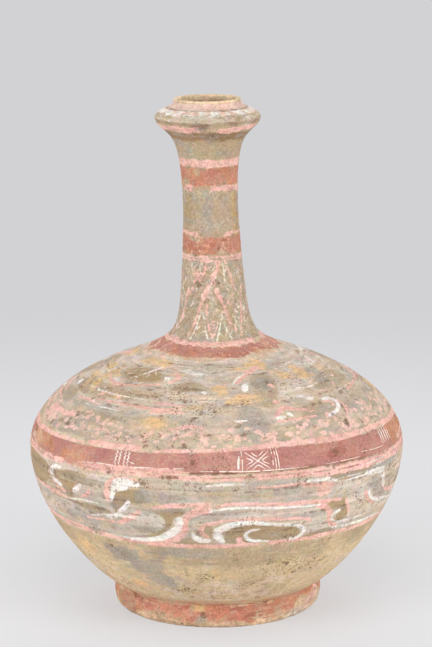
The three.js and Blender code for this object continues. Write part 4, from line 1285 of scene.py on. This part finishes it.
def vector_math(tree, operation, **inputs):
    """Output of a Vector Math node, whose inputs are first, second, third and scale."""
    keys = {"first": 0, "second": 1, "third": 2, "scale": "Scale"}
    inputs = {keys[label]: value for label, value in inputs.items()}
    return add_node(tree, "ShaderNodeVectorMath", inputs, operation=operation).outputs[0]


def swing(tree, value, amount, base=0.0):
    """Base plus an amount times how far a noise is from its middle, 0.5."""
    return calculate(tree, "MULTIPLY_ADD", calculate(tree, "SUBTRACT", value, 0.5), amount, base)


def swung(tree, noises, start, *parts):
    """A start plus every named noise's swing from its middle, times the part's amount."""
    for label, amount in parts:
        start = swing(tree, noises[label], amount, start)
    return start


def fade(tree, value, low, high):
    """0 to 1 as a value passes from low to high, eased at both ends."""
    return add_node(tree, "ShaderNodeMapRange", {0: value, 1: low, 2: high},
                    interpolation_type="SMOOTHSTEP").outputs[0]


def blend(tree, share, first, second):
    """Two colours mixed by a share. The colours are the Mix node's inputs 6 and 7."""
    inputs = {0: share, 6: first, 7: second}
    return add_node(tree, "ShaderNodeMix", inputs, data_type="RGBA").outputs[2]


def new_group(name, inputs, outputs):
    """An empty shader group with named sockets, the sockets that it is given and its output node.
    A socket's starting value is a number, a colour of four numbers or, for a vector, None."""
    tree = bpy.data.node_groups.new(name, "ShaderNodeTree")
    for sockets, in_out in ((inputs, "INPUT"), (outputs, "OUTPUT")):
        for label, start in sockets.items():
            kind = "Vector" if start is None else "Color" if np.ndim(start) else "Float"
            socket = tree.interface.new_socket(name=label, in_out=in_out, socket_type="NodeSocket" + kind)
            if start is not None and in_out == "INPUT":
                socket.default_value = start
    return tree, tree.nodes.new("NodeGroupInput").outputs, tree.nodes.new("NodeGroupOutput")


# Starting values of the groups' sockets
CLAY_COLOUR, PAINT_COLOUR, NEUTRAL = (0.5, 0.4, 0.3, 1), (0.8, 0.8, 0.8, 1), (0.5, 0.5, 0.5, 1)
MIDDLE = 0.5  # middle of a noise


def wall_noise_group():
    """Noises that every finish shares. Grain is about a millimetre, mottle five and patch thirty.
    A streak is long round the vase and narrow up it, as a brush leaves on a turning wheel. Pits
    are small round dots, thick where the wall is pitted, and tint is a slow drift of hue."""
    tree, given, result = new_group(
        "wall_noise",
        {"Position": None, "Run": 0.0, "Pitted": 0.0},
        {"Grain": MIDDLE, "Mottle": MIDDLE, "Patch": MIDDLE, "Streak": MIDDLE, "Pits": 0.0,
         "Tint": NEUTRAL})
    position = given["Position"]

    def noise(vector, scale, detail, roughness=0.55, output="Fac"):
        return add_node(tree, "ShaderNodeTexNoise", {"Vector": vector, "Scale": scale, "Detail": detail,
                                                     "Roughness": roughness}).outputs[output]

    def dots(scale, low, high):
        cells = add_node(tree, "ShaderNodeTexVoronoi", {"Vector": position, "Scale": scale})
        return calculate(tree, "SUBTRACT", 1.0, fade(tree, cells.outputs["Distance"], low, high))

    parts = add_node(tree, "ShaderNodeSeparateXYZ", {0: position})
    level = add_node(tree, "ShaderNodeCombineXYZ", {0: parts.outputs[0], 1: parts.outputs[1]}).outputs[0]
    around = vector_math(tree, "SCALE", first=vector_math(tree, "NORMALIZE", first=level), scale=6.5)
    climb = calculate(tree, "MULTIPLY", given["Run"], 0.42)
    wander = calculate(tree, "MULTIPLY_ADD", noise(position, 30.0, 2.0), 1.6, climb)
    rise = add_node(tree, "ShaderNodeCombineXYZ", {2: wander}).outputs[0]
    brushed = vector_math(tree, "ADD", first=around, second=rise)
    crowd = calculate(tree, "MULTIPLY_ADD", given["Pitted"], 0.34, noise(position, 130.0, 2.0))
    small = calculate(tree, "MULTIPLY", dots(520.0, 0.22, 0.42), fade(tree, crowd, 0.60, 0.70))
    large = calculate(tree, "MULTIPLY", dots(250.0, 0.16, 0.32), fade(tree, crowd, 0.66, 0.74))
    set_inputs(tree, result, {
        "Grain": noise(position, 620.0, 4.0, 0.7),
        "Mottle": noise(position, 190.0, 3.0, 0.6),
        "Patch": noise(position, 36.0, 4.0, 0.6),
        "Streak": noise(brushed, 1.0, 4.0, 0.6),
        "Tint": noise(position, 120.0, 4.0, 0.7, "Color"),
        "Pits": calculate(tree, "MAXIMUM", small, large),
    })
    return tree


def clay_group():
    """Bare fired clay: a base colour drifting between a paler and a darker one by patches and
    mottling."""
    tree, given, result = new_group(
        "fired_clay",
        {"Mottle": MIDDLE, "Patch": MIDDLE, "Base": CLAY_COLOUR, "Pale": (0.6, 0.5, 0.4, 1),
         "Dark": (0.3, 0.2, 0.15, 1)},
        {"Color": CLAY_COLOUR})
    drift = swung(tree, given, 0.5, ("Mottle", 0.5), ("Patch", 0.8))
    mixed = blend(tree, fade(tree, drift, 0.5, 0.68), given["Base"], given["Pale"])
    set_inputs(tree, result, {"Color": blend(tree, fade(tree, drift, 0.48, 0.32), mixed, given["Dark"])})
    return tree


def coat_group():
    """One coat of pigment over what is under it. It covers where the distance, made ragged by
    mottling, streaks and grain, is positive, and it has flaked away where they run low."""
    tree, given, result = new_group(
        "worn_coat",
        {"Under": CLAY_COLOUR, "Paint": PAINT_COLOUR, "Thin": PAINT_COLOUR, "Distance": -FAR,
         "Streak": MIDDLE, "Mottle": MIDDLE, "Grain": MIDDLE, "Patch": MIDDLE, "Soft": 0.4,
         "Ragged": 1.0, "Brushy": 1.0, "Flaking": 0.3, "Cover": 1.0},
        {"Color": CLAY_COLOUR, "Mask": 0.0})
    rough = calculate(tree, "MULTIPLY", given["Ragged"], 0.7)
    reach = swung(tree, given, given["Distance"], ("Streak", given["Brushy"]),
                  ("Mottle", given["Ragged"]), ("Grain", rough))
    covered = fade(tree, reach, calculate(tree, "MULTIPLY", given["Soft"], -1.0), given["Soft"])
    wear = swung(tree, given, 0.5, ("Streak", 0.5), ("Grain", 0.55), ("Mottle", 0.35))
    least, most = (calculate(tree, "ADD", given["Flaking"], half) for half in (-0.05, 0.05))
    kept = fade(tree, wear, least, most)
    mask = calculate(tree, "MULTIPLY", calculate(tree, "MULTIPLY", covered, kept), given["Cover"])
    drift = swung(tree, given, 0.5, ("Mottle", 0.6), ("Patch", 0.7), ("Streak", 0.4))
    tone = blend(tree, fade(tree, drift, 0.36, 0.6), given["Thin"], given["Paint"])
    set_inputs(tree, result, {"Color": blend(tree, mask, given["Under"], tone), "Mask": mask})
    return tree


def ageing_group():
    """Age over paint and clay alike: value and hue that waver with every noise, a pale bloom of
    burial salts on the high grain, and brown pits."""
    tree, given, result = new_group(
        "ageing",
        {"Color": CLAY_COLOUR, "Grain": MIDDLE, "Mottle": MIDDLE, "Streak": MIDDLE, "Tint": NEUTRAL,
         "Pits": 0.0, "Brushed": 0.5, "Strength": 1.0,
         "Bloom": srgb(228, 215, 198), "Soil": srgb(112, 84, 62)},
        {"Color": CLAY_COLOUR})
    grainy, mottled = (calculate(tree, "MULTIPLY", given["Strength"], amount) for amount in (1.25, 0.5))
    value = swung(tree, given, 1.0, ("Streak", given["Brushed"]), ("Grain", grainy), ("Mottle", mottled))
    hue = vector_math(tree, "MULTIPLY_ADD", first=given["Tint"], second=(0.34, 0.34, 0.4),
                      third=(0.83, 0.83, 0.8))
    hue = vector_math(tree, "SCALE", first=hue, scale=value)
    aged = vector_math(tree, "MULTIPLY", first=given["Color"], second=hue)
    salt = swung(tree, given, 0.5, ("Grain", 0.6), ("Streak", given["Brushed"]))
    bloom = calculate(tree, "MULTIPLY", fade(tree, salt, 0.56, 0.76), 0.42)
    aged = blend(tree, bloom, aged, given["Bloom"])
    aged = blend(tree, calculate(tree, "MULTIPLY", given["Pits"], 0.7), aged, given["Soil"])
    set_inputs(tree, result, {"Color": aged})
    return tree


WALL_NOISE, CLAY, COAT, AGEING = wall_noise_group(), clay_group(), coat_group(), ageing_group()

# Pigments in the order they were laid: (layer, paint, thinner tone, soft, ragged, brushy, flaking, cover)
COATS = [
    ("wash", (214, 207, 198), (192, 182, 170), 2.2, 5.0, 9.0, 0.32, 0.86),
    ("blush", (212, 178, 160), (204, 174, 154), 3.0, 6.0, 6.0, 0.30, 0.62),
    ("tan", (171, 149, 119), (186, 165, 137), 2.0, 5.0, 8.0, 0.28, 0.84),
    ("olive", (163, 137, 100), (175, 150, 115), 0.8, 2.6, 2.6, 0.28, 0.9),
    ("grey", (150, 143, 135), (172, 163, 153), 2.6, 7.0, 9.0, 0.34, 0.72),
    ("ochre", (222, 183, 130), (215, 182, 138), 2.4, 7.0, 6.0, 0.34, 0.78),
    ("red", (172, 114, 107), (190, 139, 126), 0.5, 2.2, 1.6, 0.33, 0.95),
    ("orange", (190, 132, 96), (208, 160, 132), 3.0, 8.0, 5.0, 0.34, 0.74),
    ("wine", (148, 84, 72), (168, 104, 90), 0.6, 3.0, 1.6, 0.40, 0.5),
    ("dab", (235, 194, 181), (224, 182, 168), 0.7, 1.8, 1.4, 0.38, 0.84),
    ("pink", (233, 186, 174), (218, 168, 156), 0.45, 1.3, 1.6, 0.35, 0.95),
    ("white", (238, 233, 226), (224, 214, 205), 0.5, 1.0, 0.8, 0.33, 0.94),
    ("soil", (116, 88, 64), (144, 114, 88), 0.7, 7.0, 3.0, 0.44, 0.72),
]


def coats_with(*changed):
    """The same coats with some of them changed."""
    changes = {coat[0]: coat for coat in changed}
    return [changes.get(coat[0], coat) for coat in COATS]


# The neck's reds are more orange, and the foot's is worn to the clay in broad patches
NECK_COATS = coats_with(
    ("ochre", (192, 160, 106), (182, 152, 104), 1.6, 3.0, 3.0, 0.20, 0.8),
    ("red", (173, 111, 94), (192, 135, 115), 0.6, 3.4, 1.6, 0.36, 0.93),
    ("pink", (225, 181, 169), (213, 167, 155), 0.45, 2.0, 1.8, 0.27, 0.95),
    ("white", (226, 219, 203), (208, 197, 178), 0.5, 1.8, 0.8, 0.33, 0.9),
)
FOOT_COATS = coats_with(("red", (190, 124, 102), (214, 156, 130), 1.4, 4.0, 6.0, 0.36, 0.94))
# The mouth's ochre is a pale cream, which also gives the painted light on the lip and inside the mouth
MOUTH_COATS = coats_with(
    ("olive", (139, 107, 70), (154, 124, 88), 1.6, 2.6, 2.6, 0.28, 0.9),
    ("ochre", (236, 210, 174), (225, 199, 163), 2.4, 3.0, 3.0, 0.20, 0.9),
    ("dab", (226, 194, 178), (216, 182, 166), 0.7, 1.8, 1.4, 0.30, 0.88),
)

# How far a coat stands up in the bump, and the coats that hide the brush's streaks
RAISED = {"red": 0.3, "dab": 0.3, "pink": 0.4, "white": 0.5, "soil": -0.6}
SMOOTH_COATS = ("olive", "red", "dab", "pink", "white")


def empty_tree(owner):
    """The node tree of a material or a world, cleared."""
    owner.use_nodes = True
    owner.node_tree.nodes.clear()
    return owner.node_tree


def painted_clay(name, base, pale, dark, coats=COATS, worn=1.0, bump=0.35):
    """Fired clay under its worn coats of pigment, aged all over, with grain, pits and paint
    edges in the bump."""
    material = bpy.data.materials.new(name)
    tree = empty_tree(material)

    def carried(label):
        return add_node(tree, "ShaderNodeAttribute", attribute_name=label).outputs["Fac"]

    place = add_node(tree, "ShaderNodeTexCoord").outputs["Object"]
    noise = add_node(
        tree, "ShaderNodeGroup", {"Position": place, "Run": carried("run"), "Pitted": carried("pitted")},
        node_tree=WALL_NOISE).outputs
    shared = {label: noise[label] for label in ("Grain", "Mottle", "Patch", "Streak")}

    def placed(group, **values):
        node = add_node(tree, "ShaderNodeGroup", node_tree=group)
        values.update((label, noise) for label, noise in shared.items() if label in node.inputs)
        set_inputs(tree, node, values)
        return node.outputs

    colour = placed(CLAY, Base=srgb(*base), Pale=srgb(*pale), Dark=srgb(*dark))["Color"]
    thickness, smooth = shared["Grain"], 0.0
    for layer, paint, thin, soft, ragged, brushy, flaking, cover in coats:
        coat = placed(COAT, Under=colour, Paint=srgb(*paint), Thin=srgb(*thin),
                      Distance=carried(layer), Soft=soft, Ragged=ragged * worn, Brushy=brushy,
                      Flaking=flaking * (0.5 + 0.5 * worn), Cover=cover)
        colour, mask = coat["Color"], coat["Mask"]
        if layer in RAISED:
            thickness = calculate(tree, "MULTIPLY_ADD", mask, RAISED[layer], thickness)
        if layer in SMOOTH_COATS:
            smooth = calculate(tree, "MAXIMUM", mask, smooth)
    thickness = calculate(tree, "MULTIPLY_ADD", noise["Pits"], -0.4, thickness)
    uncoated = calculate(tree, "MULTIPLY_ADD", smooth, -0.7, 1.0)
    streaky = calculate(tree, "MULTIPLY", carried("brushed"), uncoated)
    colour = placed(AGEING, Color=colour, Tint=noise["Tint"], Pits=noise["Pits"], Brushed=streaky,
                    Strength=worn)["Color"]
    bumped = add_node(tree, "ShaderNodeBump", {"Strength": bump, "Distance": 0.0006, "Height": thickness})
    shader = add_node(tree, "ShaderNodeBsdfPrincipled",
                      {"Base Color": colour, "Normal": bumped.outputs[0], "Roughness": 0.88,
                       "Specular IOR Level": 0.25})
    add_node(tree, "ShaderNodeOutputMaterial", {0: shader.outputs[0]})
    return material


bowl_clay = painted_clay(
    "bowl_clay_finish", (208, 184, 148), (219, 198, 166), (189, 166, 133))
shoulder_clay = painted_clay(
    "shoulder_clay_finish", (212, 191, 164), (221, 203, 180), (195, 173, 145))
neck_clay = painted_clay(
    "neck_clay_finish", (176, 155, 129), (194, 175, 150), (156, 134, 106), NECK_COATS, worn=1.15)
mouth_clay = painted_clay(
    "mouth_clay_finish", (188, 164, 134), (202, 181, 152), (164, 139, 109), MOUTH_COATS, worn=1.1)
foot_clay = painted_clay(
    "foot_clay_finish", (212, 184, 153), (226, 200, 170), (188, 155, 126), FOOT_COATS, worn=1.4)
slip_clay = painted_clay(
    "luting_slip_finish", (158, 138, 112), (172, 152, 126), (136, 116, 92), coats=[], bump=0.8)
line_slip = painted_clay(
    "line_slip_finish", (240, 225, 214), (246, 235, 226), (228, 200, 188), coats=[], bump=0.5)


# Pieces

def finish_piece(piece, material, slot, *nodes):
    """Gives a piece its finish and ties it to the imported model."""
    piece.data.materials.append(material)
    if nodes:
        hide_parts(*nodes)
    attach(piece, "root")


shoulder_rows = section_rows(BELLY_SEAM, NECK_SEAM, BODY_ROW, BODY_INSIDE_ROW)
neck_rows = section_rows(NECK_SEAM, MOUTH_SEAM, NECK_ROW, NECK_INSIDE_ROW, 0.2)

foot_wall = wall_section("foot_ring_wall", foot_rows(), BODY_COLUMNS)
bowl_wall = wall_section("lower_bowl_wall", bowl_rows(), BODY_COLUMNS, poles=True)
shoulder_wall = wall_section("shoulder_wall", shoulder_rows, BODY_COLUMNS)
neck_wall = wall_section("neck_wall", neck_rows, NECK_COLUMNS)
mouth_wall = wall_section("mouth_wall", mouth_rows(), NECK_COLUMNS)

finish_piece(foot_wall, foot_clay, "foot_clay", "foot_ring")
finish_piece(bowl_wall, bowl_clay, "bowl_clay", "lower_bowl")
finish_piece(shoulder_wall, shoulder_clay, "shoulder_clay", "shoulder")
finish_piece(neck_wall, neck_clay, "neck_clay", "neck")
finish_piece(mouth_wall, mouth_clay, "mouth_clay", "mouth")
finish_piece(slip_ribbons("fine_slip_lines"), line_slip, "shoulder_clay")
for node in ("foot_slip", "belly_slip", "neck_slip", "mouth_slip"):
    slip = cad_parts[node]
    slip.data.materials.clear()
    slip.data.materials.append(slip_clay)


# Stage

def seen_directly(tree):
    """1 where the camera looks at a surface, or sees it mirrored or through glass, and 0 where it
    only gives light."""
    path = add_node(tree, "ShaderNodeLightPath").outputs
    mirrored = calculate(tree, "MAXIMUM", path["Is Camera Ray"], path["Is Glossy Ray"])
    return calculate(tree, "MAXIMUM", mirrored, path["Is Transmission Ray"])


BACKDROP = srgb(210, 210, 212)
AMBIENT_STRENGTH = 0.41
FLOOR_SIDE = 40.0
NEAR_FLOOR, FAR_FLOOR = 0.3, 1.15  # where the floor begins to turn into the backdrop and where it has
half_side = FLOOR_SIDE / 2
corners = [(x * half_side, y * half_side, 0) for x, y in ((-1, -1), (1, -1), (1, 1), (-1, 1))]
floor_mesh = bpy.data.meshes.new("floor")
floor_mesh.from_pydata(corners, [], [(0, 1, 2, 3)])
floor = placed_object("floor", floor_mesh)
floor_finish = bpy.data.materials.new("floor_finish")
tree = empty_tree(floor_finish)
lit = add_node(tree, "ShaderNodeBsdfDiffuse", {"Color": srgb(248, 248, 248)})
# What the camera sees of it: half its own light round the vase, where it keeps the shadow, and
# only the backdrop's colour farther off
shown = add_node(tree, "ShaderNodeBsdfDiffuse", {"Color": srgb(150, 150, 151)})
glow = add_node(tree, "ShaderNodeEmission", {"Color": srgb(182, 182, 184), "Strength": 1.0})
near = add_node(tree, "ShaderNodeAddShader", {0: shown.outputs[0], 1: glow.outputs[0]})
far = add_node(tree, "ShaderNodeEmission", {"Color": BACKDROP, "Strength": 1.0})
place = add_node(tree, "ShaderNodeTexCoord").outputs["Object"]
distance = add_node(tree, "ShaderNodeVectorMath", {0: place}, operation="LENGTH").outputs["Value"]
share = fade(tree, distance, NEAR_FLOOR, FAR_FLOOR)
pale = add_node(tree, "ShaderNodeMixShader", {0: share, 1: near.outputs[0], 2: far.outputs[0]})
mixed = add_node(tree, "ShaderNodeMixShader",
                 {0: seen_directly(tree), 1: lit.outputs[0], 2: pale.outputs[0]})
add_node(tree, "ShaderNodeOutputMaterial", {0: mixed.outputs[0]})
floor.data.materials.append(floor_finish)


LAMP_AIM = Vector((0, 0, 0.12))


def soft_box(name, place, size, power):
    """A round area lamp aimed at the lower body of the vase."""
    lamp = bpy.data.lights.new(name, "AREA")
    lamp.shape, lamp.size, lamp.energy = "DISK", size, power
    light = placed_object(name, lamp)
    light.location = place
    aim = LAMP_AIM - light.location
    light.rotation_mode = "QUATERNION"
    light.rotation_quaternion = aim.to_track_quat("-Z", "Y")


soft_box("left_soft_box", (-1.5, -0.95, 0.62), 0.8, 14.6)
soft_box("right_soft_box", (1.5, -0.95, 0.62), 0.8, 14.6)
soft_box("top_soft_box", (0.0, -1.0, 1.9), 1.4, 13.6)
soft_box("back_soft_box", (0.0, 1.75, 1.1), 1.2, 12)

world = bpy.data.worlds.new("studio")
bpy.context.scene.world = world
sky = empty_tree(world)
backdrop = add_node(sky, "ShaderNodeBackground", {"Color": BACKDROP, "Strength": 1.0})
ambient = add_node(sky, "ShaderNodeBackground", {"Color": (1, 1, 1, 1), "Strength": AMBIENT_STRENGTH})
mixed = add_node(sky, "ShaderNodeMixShader",
                 {0: seen_directly(sky), 1: ambient.outputs[0], 2: backdrop.outputs[0]})
add_node(sky, "ShaderNodeOutputWorld", {0: mixed.outputs[0]})

# Camera: its place and aim were fitted to the outline and to the ellipses of lip, bands and foot
PHOTO_HEIGHT_PX = 647
FOCAL_PX = 2515.5
OFF_CENTRE_PX = 1.13
CAMERA_DISTANCE, CAMERA_HEIGHT = 1.836, 0.5992
PITCH_DOWN, ROLL = math.radians(11.895), math.radians(0.652)

view_ahead = Vector((0, math.cos(PITCH_DOWN), -math.sin(PITCH_DOWN)))
view_up = Vector((0, math.sin(PITCH_DOWN), math.cos(PITCH_DOWN)))
level_right = Vector((1, 0, 0))
right = math.cos(ROLL) * level_right - math.sin(ROLL) * view_up
up = math.sin(ROLL) * level_right + math.cos(ROLL) * view_up
aside = OFF_CENTRE_PX / FOCAL_PX
ahead = (view_ahead + aside * right).normalized()
right = (right - aside * view_ahead).normalized()
camera_data = bpy.data.cameras.new("camera")
camera_data.sensor_width = 36
camera_data.lens = FOCAL_PX / PHOTO_HEIGHT_PX * camera_data.sensor_width
camera = placed_object("camera", camera_data)
camera.matrix_world = Matrix((
    (right.x, up.x, -ahead.x, 0),
    (right.y, up.y, -ahead.y, -CAMERA_DISTANCE),
    (right.z, up.z, -ahead.z, CAMERA_HEIGHT),
    (0, 0, 0, 1)))
bpy.context.scene.camera = camera
bpy.context.scene.view_settings.view_transform = "Standard"
